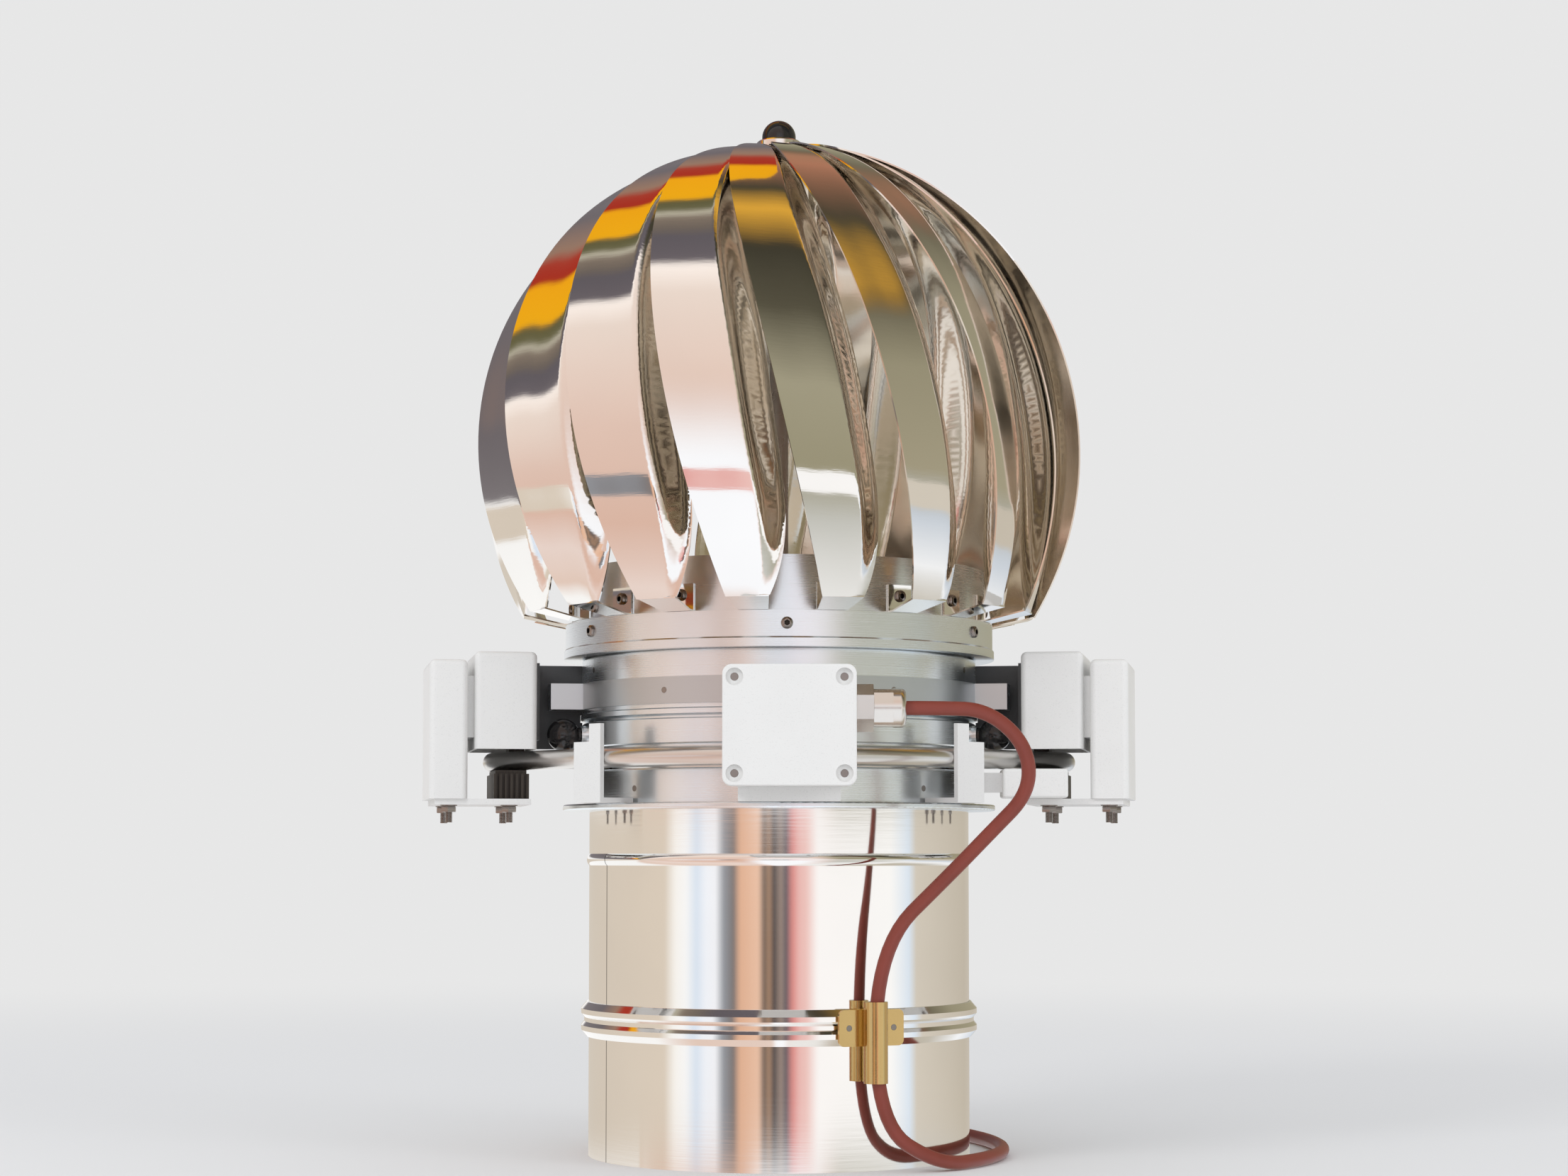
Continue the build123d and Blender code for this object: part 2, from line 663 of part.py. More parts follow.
def magnet_ring():
    return ring(DRUM_OUT_R + SEAT + MAGNET_T, DRUM_OUT_R + SEAT, MAGNET_Z, MAGNET_H)


def spindle():
    """Turned spindle with a shoulder on the upper bearing and a domed hub under the vanes."""
    hub_foot = globe_point(math.degrees(math.acos(HUB_R / GLOBE_R)), VANE_T + HUB_RIM_DROP)[1]
    hub_top = globe_point(math.degrees(math.acos(SPINDLE_R / GLOBE_R)), VANE_T + HUB_DROP)[1]
    shoulder_z = TUBE_TOP_Z - BEARING_DEPTH + 2 * SEAT
    r = SPINDLE_R - FIT
    return turned([
        (0, TUBE_FOOT_Z - 4), (r, TUBE_FOOT_Z - 4), (r, shoulder_z), (r + 3, shoulder_z),
        (r + 3, shoulder_z + 5), (r, shoulder_z + 5), (r, hub_foot - HUB_T - 6),
        (r + 5, hub_foot - HUB_T), (HUB_R, hub_foot - 2), (HUB_R, hub_foot), (r, hub_top),
        (r, CAP_Z + CAP_T + NUT_R * 0.6), (0, CAP_Z + CAP_T + NUT_R * 0.6),
    ])


def cap_disc():
    disc = ring(CAP_R, SPINDLE_R, CAP_Z, CAP_T)
    return chamfer(disc.edges().group_by(Axis.Z)[-1].sort_by(SortBy.RADIUS)[-1], 0.8)


def dome_nut():
    z = CAP_Z + CAP_T
    body = Pos(0, 0, z) * Cylinder(NUT_R, NUT_COLLAR_H, align=(Align.CENTER, Align.CENTER, Align.MIN))
    dome = Pos(0, 0, z + NUT_COLLAR_H) * Sphere(NUT_R)
    dome -= block((-20, 20), (-20, 20), (z - 20, z + NUT_COLLAR_H))
    bore = Pos(0, 0, z) * Cylinder(SPINDLE_R, NUT_R * 0.6 + FIT, align=(Align.CENTER, Align.CENTER, Align.MIN))
    return body + dome - bore


# Bearings and their carrier

def bearing_spider():
    """Three flat arms across the neck that carry the bearing tube."""
    tube = ring(TUBE_R, SPINDLE_R + 4, TUBE_FOOT_Z, TUBE_TOP_Z - TUBE_FOOT_Z)
    for z in bearing_heights():
        tube -= Pos(0, 0, z) * Cylinder(BEARING_R, BEARING_H, align=(Align.CENTER, Align.CENTER, Align.MIN))
    tube -= Pos(0, 0, TUBE_FOOT_Z) * Cylinder(BEARING_R, BEARING_DEPTH, align=(Align.CENTER, Align.CENTER, Align.MIN))
    top = TUBE_TOP_Z - BEARING_DEPTH
    tube -= Pos(0, 0, top) * Cylinder(BEARING_R, BEARING_DEPTH, align=(Align.CENTER, Align.CENTER, Align.MIN))
    arm = block((TUBE_R - 1, PIPE_R), (-SPIDER_ARM_T / 2, SPIDER_ARM_T / 2),
                (TUBE_FOOT_Z, TUBE_FOOT_Z + SPIDER_ARM_H))
    for i in range(SPIDER_ARMS):
        tube += Rot(0, 0, 90 + 360 / SPIDER_ARMS * i) * arm
    return tube & Cylinder(NECK_INNER_R - SEAT, 2 * TUBE_TOP_Z + 10)


def bearing_heights():
    return (TUBE_FOOT_Z + BEARING_DEPTH, TUBE_TOP_Z - BEARING_DEPTH - BEARING_H)


def ball_bearings():
    """Two deep-groove bearings with their shield line, in one group."""
    bearings = []
    for z in bearing_heights():
        race = ring(BEARING_R - SEAT, SPINDLE_R, z, BEARING_H)
        for face_z in (z, z + BEARING_H - 0.6):
            race -= ring(BEARING_R - BEARING_RACE, SPINDLE_R + BEARING_RACE, face_z, 0.6)
        bearings.append(race.solid())
    return Compound(children=bearings)


# Drive units, drawn on +X and then placed at each side

def inner_cover():
    """Folded cover over the drive coil, open at the bottom."""
    x = (COVER_IN, COVER_IN + COVER_W)
    y = (-COVER_L / 2, COVER_L / 2)
    z = (COVER_FOOT_Z, COVER_FOOT_Z + COVER_H)
    w = COVER_WALL
    shell = block(x, y, z)
    shell = fillet(shell.edges().filter_by(Axis.Z) + shell.faces().sort_by(Axis.Z)[-1].edges(), COVER_CORNER)
    return shell - block((x[0] + w, x[1] - w), (y[0] + w, y[1] - w), (z[0] - 1, z[1] - w))


def outer_shield():
    """Tall folded shield with the base plate as its inward flange."""
    start = COVER_IN + COVER_W + SHIELD_GAP
    x = (start, start + SHIELD_W)
    y = (-SHIELD_L / 2, SHIELD_L / 2)
    z = (SHIELD_FOOT_Z, SHIELD_FOOT_Z + SHIELD_H)
    w = SHIELD_WALL
    shell = block(x, y, z)
    shell = fillet(shell.edges().filter_by(Axis.Z) + shell.faces().sort_by(Axis.Z)[-1].edges(), COVER_CORNER)
    shell -= block((x[0] + w, x[1] - w), (y[0] + w, y[1] - w), (z[0] + w, z[1] - w))
    plate = block((PLATE_IN, x[1] - COVER_CORNER), (y[0] + 2, y[1] - 2), (z[0] - PLATE_T, z[0]))
    bridge = block((x[0] - SHIELD_GAP, x[0] + w), (y[0] + 8, y[1] - 8), (COVER_FOOT_Z + 6, z[1] - 8))
    shell = shell + plate + bridge
    for px, py in stud_places():
        shell -= rod((px, py, z[0] - PLATE_T - 1), (0, 0, 1), STUD_R + FIT, PLATE_T + 4)
    return shell


def stud_places():
    outer = COVER_IN + COVER_W + SHIELD_GAP + SHIELD_W * 0.45
    inner = COIL_IN + COIL_W * 0.55
    side = SHIELD_L * 0.3
    return [(px, py) for px in (inner, outer) for py in (-side, side)]


def drive_coil():
    """Laminated coil block on the base plate, finned on both ends, with its yoke up in the cover."""
    x = (COIL_IN, COIL_IN + COIL_W)
    y = (-COIL_L / 2, COIL_L / 2)
    z = (SHIELD_FOOT_Z, SHIELD_FOOT_Z + COIL_H)
    core = block(x, y, z)
    pitch = COIL_W / (COIL_FINS * 2 - 1)
    for i in range(COIL_FINS - 1):
        cut = (x[0] + pitch * (2 * i + 1), x[0] + pitch * (2 * i + 2))
        for end in ((y[0] - 1, y[0] + FIN_DEPTH), (y[1] - FIN_DEPTH, y[1] + 1)):
            core -= block(cut, end, (z[0] - 1, z[1] + 1))
    rest = block((x[0] + 1, x[1] - 1), (y[0] + 4, y[1] - 4), (z[1], CONDUIT_Z - CONDUIT_R - SEAT))
    yoke = block((x[0], x[0] + YOKE_W), (YOKE_Y, YOKE_Y + YOKE_L), (z[1], COVER_FOOT_Z + COVER_H * 0.8))
    for px, py in stud_places()[:2]:
        core -= rod((px, py, z[0] - 1), (0, 0, 1), STUD_R + FIT, stud_rise() + 1.5)
    return core + rest + yoke


def stud_rise():
    return COIL_H * 0.5


def drive_arm():
    """Dark arm plate from the collar to the cover, with its foot clamped under the strap's lug."""
    foot_in = COLLAR_R + SEAT
    foot_z = (STRAP_Z + SEAT, STRAP_Z + STRAP_H - SEAT)
    lug_in = COLLAR_R + LUG_REACH - STRAP_T
    half = LUG_WIDTH / 2
    back = (ARM_BACK, ARM_BACK + ARM_T)
    foot = block((foot_in - 6, lug_in - SEAT), (-half + STRAP_T + SEAT, back[0] + 1), foot_z)
    plate = block((foot_in - 8, COVER_IN - SEAT), back, (ARM_Z, ARM_Z + ARM_H))
    flange = block((COVER_IN - SEAT - ARM_T * 0.75, COVER_IN - SEAT), (-half, back[1]), (ARM_Z + 4, ARM_Z + ARM_H))
    arm = foot + plate + flange
    arm -= Cylinder(foot_in, 2 * (ARM_Z + ARM_H + 1))
    arm -= ring(COLLAR_R + 1.1, COLLAR_R - 2, COLLAR_STEP_Z - 1, COLLAR_STEP_H + 1)
    arm -= rod((COLLAR_R - 2, 0, lug_screw_z()), (1, 0, 0), STUD_R + FIT, LUG_REACH + 4)
    return arm


def unit_studs():
    """Studs with nuts under the base plates of both units, in one group."""
    studs = []
    top = SHIELD_FOOT_Z
    nut_top = top - PLATE_T
    for side in UNIT_SIDES.values():
        for index, (px, py) in enumerate(stud_places()):
            rise = stud_rise() if index < 2 else 2.5
            stem = rod((px, py, nut_top - STUD_DROP), (0, 0, 1), STUD_R, STUD_DROP + PLATE_T + rise)
            nut = Pos(px, py, nut_top - NUT_H) * extrude(RegularPolygon(NUT_AF / 2, 6, major_radius=False), NUT_H)
            studs.append(beside(stem + nut, side).solid())
    return Compound(children=studs)


# Conduit, brackets and connector

def conduit_path():
    corner = CONDUIT_RING_R * math.sqrt(2)
    reach = CONDUIT_REACH
    turn_y = reach - corner
    end_y = turn_y + CONDUIT_END_RUN
    points = [
        (-reach, end_y, CONDUIT_Z), (-reach, turn_y, CONDUIT_Z), (0, -corner, CONDUIT_Z),
        (reach, turn_y, CONDUIT_Z), (reach, end_y, CONDUIT_Z),
    ]
    return FilletPolyline(*points, radius=[CONDUIT_END_R, CONDUIT_RING_R, CONDUIT_END_R])


def wiring_conduit():
    path = conduit_path()
    section = Plane(origin=path @ 0, z_dir=path % 0) * (Circle(CONDUIT_R) - Circle(CONDUIT_R - CONDUIT_WALL))
    return sweep(section, path=path)


def conduit_bracket():
    """Stepped upright behind which the conduit is fixed, with a foot screwed to the flange."""
    x = CONDUIT_RING_R + CONDUIT_R + SEAT
    start = -1.0
    foot = block((FOOT_IN, x + BRACKET_T), (start, start + BRACKET_W), (FLANGE_TOP_Z, FLANGE_TOP_Z + BRACKET_T))
    outline = Polyline(
        (start, FLANGE_TOP_Z), (start + BRACKET_W, FLANGE_TOP_Z), (start + BRACKET_W, BRACKET_STEP_Z),
        (start + BRACKET_NECK_W, BRACKET_STEP_Z), (start + BRACKET_NECK_W, BRACKET_TOP_Z),
        (start, BRACKET_TOP_Z), close=True,
    )
    upright = extrude(Plane(origin=(x, 0, 0), x_dir=(0, 1, 0), z_dir=(1, 0, 0)) * make_face(outline), BRACKET_T)
    bracket = foot + upright
    point = bracket_screw_point()
    return bracket - rod(point - Vector(0, 0, BRACKET_T + 1), (0, 0, 1), SCREW_R + FIT, BRACKET_T + 2)


def bracket_screw_point():
    return Vector((FOOT_IN + FLANGE_R) / 2, BRACKET_W / 2 - 1.0, FLANGE_TOP_Z + BRACKET_T)


def bracket(side):
    placed = Rot(0, 0, -45) * conduit_bracket()
    return placed if side > 0 else mirror(placed, about=Plane.YZ)


def foot_screw_points():
    """Tops of the screws that hold the brackets and the box plate to the flange."""
    right = bracket_screw_point().rotate(Axis.Z, -45)
    z = FLANGE_TOP_Z + BRACKET_T
    y = -(FOOT_IN + FLANGE_R) / 2
    return [right, Vector(-right.X, right.Y, z), Vector(BOX_X - 15, y, z), Vector(BOX_X + 15, y, z)]


def connector_box():
    """Small white connector on the right base plate, under the conduit, with its plug neck."""
    x = [PIPE_R + out for out in CONNECTOR_OUT]
    y, z = CONNECTOR_Y, (SHIELD_FOOT_Z + SEAT, CONDUIT_Z - CONDUIT_R - SEAT)
    body = fillet(block(x, y, z).edges(), 1.5)
    middle = (y[0] + y[1]) / 2
    neck = block((PIPE_R + CONNECTOR_NECK_OUT, x[0] + 2), (middle - 6, middle + 6), (z[0] + 3, z[1] - 2))
    return body + neck


# Junction box, gland and lead

def box_bracket():
    """Angle plate that holds the junction box in front of the conduit."""
    x = (BOX_X - BOX_PLATE_W / 2, BOX_X + BOX_PLATE_W / 2)
    back = BODY_BACK_Y + BRACKET_T
    foot = block(x, (BODY_BACK_Y, -FOOT_IN), (FLANGE_TOP_Z, FLANGE_TOP_Z + BRACKET_T))
    upright = block(x, (BODY_BACK_Y, back), (FLANGE_TOP_Z, BOX_PLATE_TOP_Z))
    plate = foot + upright
    for point in foot_screw_points()[2:]:
        plate -= rod(point - Vector(0, 0, BRACKET_T + 1), (0, 0, 1), SCREW_R + FIT, BRACKET_T + 2)
    return plate


def front_block(width, height, y_front, depth, corner):
    """A block with rounded vertical and horizontal corners as seen from the front."""
    face = Plane(origin=(BOX_X, y_front, BOX_Z), x_dir=(1, 0, 0), z_dir=(0, 1, 0))
    return extrude(face * RectangleRounded(width, height, corner), depth)


def box_screw_places():
    return [(BOX_X + sx * LID_SCREW_X, BOX_Z + sz * LID_SCREW_Z) for sx in (-1, 1) for sz in (-1, 1)]


def box_body():
    body = front_block(BOX_W, BOX_H, BODY_FRONT_Y, BOX_DEPTH - SEAT, BOX_CORNER)
    body -= front_block(BOX_W - 2 * BOX_WALL, BOX_H - 2 * BOX_WALL, BODY_FRONT_Y - 1,
                        BOX_DEPTH - BOX_WALL + 1, BOX_CORNER - BOX_WALL)
    for px, pz in box_screw_places():
        body += rod((px, BODY_FRONT_Y, pz), (0, 1, 0), BOX_BOSS_R, BOX_DEPTH - 1)
        body -= rod((px, BODY_FRONT_Y - 1, pz), (0, 1, 0), LID_SCREW_R + FIT, LID_SCREW_L - LID_T + 2)
    x, y, z = gland_start()
    body -= rod((x - BOX_WALL - 1, y, z), (1, 0, 0), GLAND_THREAD_R + FIT, BOX_WALL + 2)
    return body


def box_lid():
    y = BODY_FRONT_Y - LID_T
    lid = front_block(BOX_W + 2 * LID_OVER, BOX_H + 2 * LID_OVER, y, LID_T, BOX_CORNER + LID_OVER)
    lid = fillet(lid.faces().sort_by(Axis.Y)[0].edges(), 0.8)
    for px, pz in box_screw_places():
        lid -= rod((px, y - 1, pz), (0, 1, 0), LID_SCREW_HEAD_R + 2 * SEAT, 3.4)
        lid -= rod((px, y - 1, pz), (0, 1, 0), LID_SCREW_R + FIT, LID_T + 2)
    return lid


def lid_screws():
    """Four countersunk-pocket screws with a cross slot, in one group."""
    y = BODY_FRONT_Y - LID_T + 2.4
    screws = []
    for px, pz in box_screw_places():
        head = rod((px, y, pz), (0, -1, 0), LID_SCREW_HEAD_R, 2.2)
        for size in ((4.4, 1.0), (1.0, 4.4)):
            head -= Pos(px, y - 2.2, pz) * Box(size[0], 2.4, size[1])
        screws.append((head + rod((px, y, pz), (0, 1, 0), LID_SCREW_R, LID_SCREW_L - LID_T)).solid())
    return Compound(children=screws)


def gland_start():
    return Vector(BOX_X + BOX_W / 2, BODY_FRONT_Y + GLAND_SET_BACK, GLAND_Z)


def gland_body():
    start = gland_start()
    face = Plane(origin=start + Vector(SEAT, 0, 0), x_dir=(0, 0, 1), z_dir=(1, 0, 0))
    hexagon = extrude(face * RegularPolygon(GLAND_AF / 2, 6, major_radius=False), GLAND_HEX_T - SEAT)
    spigot = rod(start - Vector(BOX_WALL + 2, 0, 0), (1, 0, 0), GLAND_THREAD_R, BOX_WALL + 2 + SEAT)
    thread = rod(start + Vector(GLAND_HEX_T, 0, 0), (1, 0, 0), GLAND_THREAD_R, GLAND_NUT_L * 0.5)
    length = BOX_WALL + 3 + GLAND_HEX_T + GLAND_NUT_L
    bore = rod(start - Vector(BOX_WALL + 3, 0, 0), (1, 0, 0), LEAD_R + 3 * SEAT, length)
    return hexagon + spigot + thread - bore


def gland_nut():
    start = gland_start() + Vector(GLAND_HEX_T + SEAT, 0, 0)
    length = GLAND_NUT_L - SEAT
    nut = rod(start, (1, 0, 0), GLAND_NUT_R, length)
    nut = fillet(nut.edges().sort_by(Axis.X)[-1], 2.6)
    bore = rod(start, (1, 0, 0), GLAND_THREAD_R + FIT, GLAND_NUT_L * 0.5 + SEAT)
    for i in range(6):
        flat = Rot(60 * i, 0, 0) * Pos(0, 0, 2 * GLAND_NUT_R - GLAND_NUT_FLAT)
        flat *= Box(length * 0.6, 2 * GLAND_NUT_R, 2 * GLAND_NUT_R)
        nut -= Pos(start.X + length * 0.3, start.Y, start.Z) * flat
    return nut - bore


def lead_route():
    """Points of the lead from the gland, over the loop, through the saddle and to the coil."""
    start = gland_start() + Vector(GLAND_HEX_T + GLAND_NUT_L, 0, 0)
    loop = [Vector(*point) for point in LEAD_LOOP]
    floor = [Vector(x, y, LEAD_R) for x, y in LEAD_FLOOR]
    above = saddle_point(SADDLE_AXIS_R, 0, SADDLE_TOP_Z + LEAD_INTO_SADDLE)
    below = saddle_point(SADDLE_AXIS_R, 0, SADDLE_FOOT_Z - LEAD_OUT_OF_SADDLE)
    entry = coil_entry()
    return [start, *loop, above, below, *floor, entry + Vector(LEAD_LEAD_IN, 0, 0), entry]


def corner_radii(points):
    """Largest arc for each corner: 0.45 of the shorter run over the tangent of half the turn."""
    radii = []
    for before, corner, after in zip(points, points[1:], points[2:]):
        first = corner - before
        second = after - corner
        turn = math.radians(first.get_angle(second))
        radii.append(0.45 * min(first.length, second.length) / math.tan(turn / 2))
    return radii


def lead_path():
    points = lead_route()
    return FilletPolyline(*points, radius=corner_radii(points))


def lead_run():
    path = lead_path()
    return sweep(Plane(origin=path @ 0, z_dir=path % 0) * Circle(LEAD_R), path=path)


def coil_entry():
    """Where the lead enters the coil, on a tangent to the outer turn at its front side."""
    return Vector(COIL_X + COIL_STUB, COIL_Y - (COIL_TURN_D + COIL_PITCH) / 2, LEAD_R)


def lead_coil():
    """Envelope of the coiled rest of the lead, two turns wide and two high, with its entry."""
    size = COIL_PITCH + 2 * LEAD_R
    section = Plane.XZ * Pos(COIL_TURN_D / 2, size / 2) * RectangleRounded(size, size, LEAD_R)
    coil = Pos(COIL_X, COIL_Y, 0) * revolve(section, Axis.Z)
    entry = coil_entry()
    stub = rod((COIL_X, entry.Y, entry.Z), (1, 0, 0), LEAD_R, entry.X - COIL_X)
    return coil + stub


def saddle_point(radius, offset, z):
    """Point at a radius in the saddle's direction, moved sideways by an offset."""
    sideways = outward(SADDLE_ANGLE + 90) * offset
    return outward(SADDLE_ANGLE) * radius + sideways + Vector(0, 0, z)


def cable_saddle():
    """Brass sleeve soldered to a plate that is screwed to the joint band."""
    foot = saddle_point(SADDLE_AXIS_R, 0, SADDLE_FOOT_Z)
    sleeve = rod(foot, (0, 0, 1), SADDLE_R, SADDLE_TOP_Z - SADDLE_FOOT_Z)
    inner = PIPE_R + BAND_OUT + SEAT
    plate = block(
        (inner, inner + SADDLE_PLATE_T), (-SADDLE_PLATE_W / 2, SADDLE_PLATE_W / 2),
        (JOINT_Z - SADDLE_PLATE_H / 2, JOINT_Z + SADDLE_PLATE_H / 2),
    )
    plate = fillet(plate.edges().filter_by(Axis.X), 3.0)
    saddle = sleeve + Rot(0, 0, SADDLE_ANGLE) * plate
    saddle -= rod(foot - Vector(0, 0, 1), (0, 0, 1), LEAD_R + 2 * SEAT, SADDLE_TOP_Z - SADDLE_FOOT_Z + 2)
    for offset in (-SADDLE_SCREW_OUT, SADDLE_SCREW_OUT):
        start = saddle_point(inner - 1, offset, JOINT_Z)
        saddle -= rod(start, outward(SADDLE_ANGLE), SCREW_R + FIT, SADDLE_PLATE_T + 2)
    return saddle


def pieces():
    """Every sub-part by its node name."""
    parts = {
        "flue_pipe_lower": flue_pipe_lower(),
        "flue_pipe_upper": flue_pipe_upper(),
        "joint_band": joint_band(),
        "neck_sleeve": neck_sleeve(),
        "mount_flange": mount_flange(),
        "lower_collar": lower_collar(),
        "bearing_collar": bearing_collar(),
        "clamp_band": clamp_band(),
        "strap": strap(),
        "fixed_screws": fixed_screws(),
        "bearing_spider": bearing_spider(),
        "ball_bearings": ball_bearings(),
        "wiring_conduit": wiring_conduit(),
        "connector_box": connector_box(),
        "box_bracket": box_bracket(),
        "box_body": box_body(),
        "box_lid": box_lid(),
        "lid_screws": lid_screws(),
        "gland_body": gland_body(),
        "gland_nut": gland_nut(),
        "unit_studs": unit_studs(),
        "cable_saddle": cable_saddle(),
        "lead_run": lead_run(),
        "lead_coil": lead_coil(),
        "rotor_ring": rotor_ring(),
        "magnet_ring": magnet_ring(),
        "rotor_screws": rotor_screws(),
        "spindle": spindle(),
        "cap_disc": cap_disc(),
        "dome_nut": dome_nut(),
    }
    for name, side in UNIT_SIDES.items():
        parts[f"inner_cover_{name}"] = beside(inner_cover(), side)
        parts[f"outer_shield_{name}"] = beside(outer_shield(), side)
        parts[f"drive_coil_{name}"] = beside(drive_coil(), side)
        parts[f"drive_arm_{name}"] = beside(drive_arm(), side)
        parts[f"bracket_{name}"] = bracket(side)
    for name, angle in zip(UNIT_SIDES, knob_angles()):
        parts[f"ball_knob_{name}"] = knob(angle)
    one_vane = vane()
    for i in range(VANE_COUNT):
        parts[f"vane_{i + 1:02d}"] = Rot(0, 0, 360 / VANE_COUNT * i) * one_vane
    return parts


def report_lead():
    points = lead_route()
    path = lead_path()
    volume = lead_run().volume
    ideal = math.pi * LEAD_R ** 2 * path.length
    print("lead corner radii", [round(r) for r in corner_radii(points)])
    print("lead run length", round(path.length, 1), "volume ratio", round(volume / ideal, 4))


if __name__ == "__main__":
    os.makedirs("parts", exist_ok=True)
    for node, shape in pieces().items():
        export_step(shape, f"parts/{node}.step")
    report_lead()
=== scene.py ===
import json
import math

import bmesh
import bpy
from mathutils import Matrix, Vector


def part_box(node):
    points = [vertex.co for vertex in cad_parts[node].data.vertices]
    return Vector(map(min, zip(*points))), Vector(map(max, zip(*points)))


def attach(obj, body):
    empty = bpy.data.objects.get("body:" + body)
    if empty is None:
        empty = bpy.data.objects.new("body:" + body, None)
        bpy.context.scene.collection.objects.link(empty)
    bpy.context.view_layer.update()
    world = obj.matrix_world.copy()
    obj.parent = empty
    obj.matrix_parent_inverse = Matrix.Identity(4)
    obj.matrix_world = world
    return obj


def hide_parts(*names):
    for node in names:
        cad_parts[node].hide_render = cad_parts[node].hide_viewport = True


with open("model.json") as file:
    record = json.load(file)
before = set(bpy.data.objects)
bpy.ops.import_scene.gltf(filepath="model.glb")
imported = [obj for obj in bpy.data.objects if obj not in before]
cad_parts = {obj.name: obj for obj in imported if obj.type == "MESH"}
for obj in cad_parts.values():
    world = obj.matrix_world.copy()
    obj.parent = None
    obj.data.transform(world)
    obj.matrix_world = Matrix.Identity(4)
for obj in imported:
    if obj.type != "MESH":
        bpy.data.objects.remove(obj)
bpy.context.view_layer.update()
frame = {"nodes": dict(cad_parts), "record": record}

bl_info = {
    "name": "Chimney Draught Fan",
    "version": (1, 0, 0),
    "blender": (4, 5, 0),
    "location": "View3D > Sidebar > Draught Fan",
    "description": "Finishes, fasteners, lead and studio of a chimney draught fan",
    "category": "Object",
}

MM = 0.001
FULL_TURN = 2 * math.pi

# The solids' own sizes, in millimetres, and angles in degrees from +X
GLOBE_R = 160.0
GLOBE_HALF_H = 165.0
GLOBE_Z = 369.04
VANE_COUNT = 18
VANE_PITCH = 360 / VANE_COUNT
VANE_FIRST = -109.4       # outer edge of the first vane at the equator
VANE_FOOT = -32.0         # elevation of a vane's foot on the globe
LEAN_LINEAR = 0.24        # how a vane's outer edge leans back with elevation
LEAN_CUBIC = 2e-5
JOINT_Z = 71.0            # height of the joint band and of the lead's saddle
SADDLE_ANGLE = -64.3
SADDLE_AXIS_R = 110.1
UNIT_TURN = 10.0          # how far the drive units are turned back


# Sizes and colours that a user would change

class FanSizes(bpy.types.PropertyGroup):
    """Sizes of the pieces that are made here."""
    lead_diameter: bpy.props.FloatProperty(
        name="Lead diameter", description="Outside diameter of the silicone lead",
        default=7 * MM, unit="LENGTH", subtype="DISTANCE")
    lead_length: bpy.props.FloatProperty(
        name="Lead length", description="Length from the gland to the bare end",
        default=1.44, unit="LENGTH", subtype="DISTANCE")
    screw_head: bpy.props.FloatProperty(
        name="Screw head", description="Diameter of the small screw heads",
        default=6 * MM, unit="LENGTH", subtype="DISTANCE")
    lug_screw_head: bpy.props.FloatProperty(
        name="Lug screw head", description="Diameter of the screw heads on the strap's lugs",
        default=7 * MM, unit="LENGTH", subtype="DISTANCE")
    lid_screw_head: bpy.props.FloatProperty(
        name="Lid screw head", description="Diameter of the junction box's screw heads",
        default=8 * MM, unit="LENGTH", subtype="DISTANCE")
    stud: bpy.props.FloatProperty(
        name="Stud", description="Diameter of the studs below the drive units",
        default=4 * MM, unit="LENGTH", subtype="DISTANCE")


class FanColours(bpy.types.PropertyGroup):
    """Base colours of the finishes."""
    steel: bpy.props.FloatVectorProperty(
        name="Polished steel", description="Stainless sheet of the vanes and pipes",
        default=(0.88, 0.865, 0.84), subtype="COLOR", min=0, max=1)
    # The aluminium's cool blue tint is painted reflection: it offsets the warm panels the collars
    # mirror
    aluminium: bpy.props.FloatVectorProperty(
        name="Aluminium", description="Spun collars, bands and strap",
        default=(0.87, 0.925, 0.96), subtype="COLOR", min=0, max=1)
    white: bpy.props.FloatVectorProperty(
        name="White coat", description="Covers, brackets and junction box",
        default=(0.83, 0.83, 0.82), subtype="COLOR", min=0, max=1)
    dark: bpy.props.FloatVectorProperty(
        name="Dark coat", description="Drive arms",
        default=(0.085, 0.09, 0.095), subtype="COLOR", min=0, max=1)
    silicone: bpy.props.FloatVectorProperty(
        name="Silicone", description="Sheath of the lead",
        default=(0.225, 0.042, 0.028), subtype="COLOR", min=0, max=1)
    brass: bpy.props.FloatVectorProperty(
        name="Brass", description="Saddle of the lead",
        default=(0.66, 0.47, 0.20), subtype="COLOR", min=0, max=1)


# Shader expressions

class Value:
    """A node's output that can be used in sums and products."""

    def __init__(self, shader, output):
        self.shader = shader
        self.output = output

    def math(self, operation, *others):
        return self.shader.math(operation, self, *others)

    def __add__(self, other):
        return self.math("ADD", other)

    def __radd__(self, other):
        return self.math("ADD", other)

    def __mul__(self, other):
        return self.math("MULTIPLY", other)

    def __rmul__(self, other):
        return self.math("MULTIPLY", other)

    def __sub__(self, other):
        return self.math("SUBTRACT", other)

    def __rsub__(self, other):
        return self.shader.math("SUBTRACT", other, self)

    def __truediv__(self, other):
        return self.math("DIVIDE", other)

    def __neg__(self):
        return self.math("MULTIPLY", -1.0)


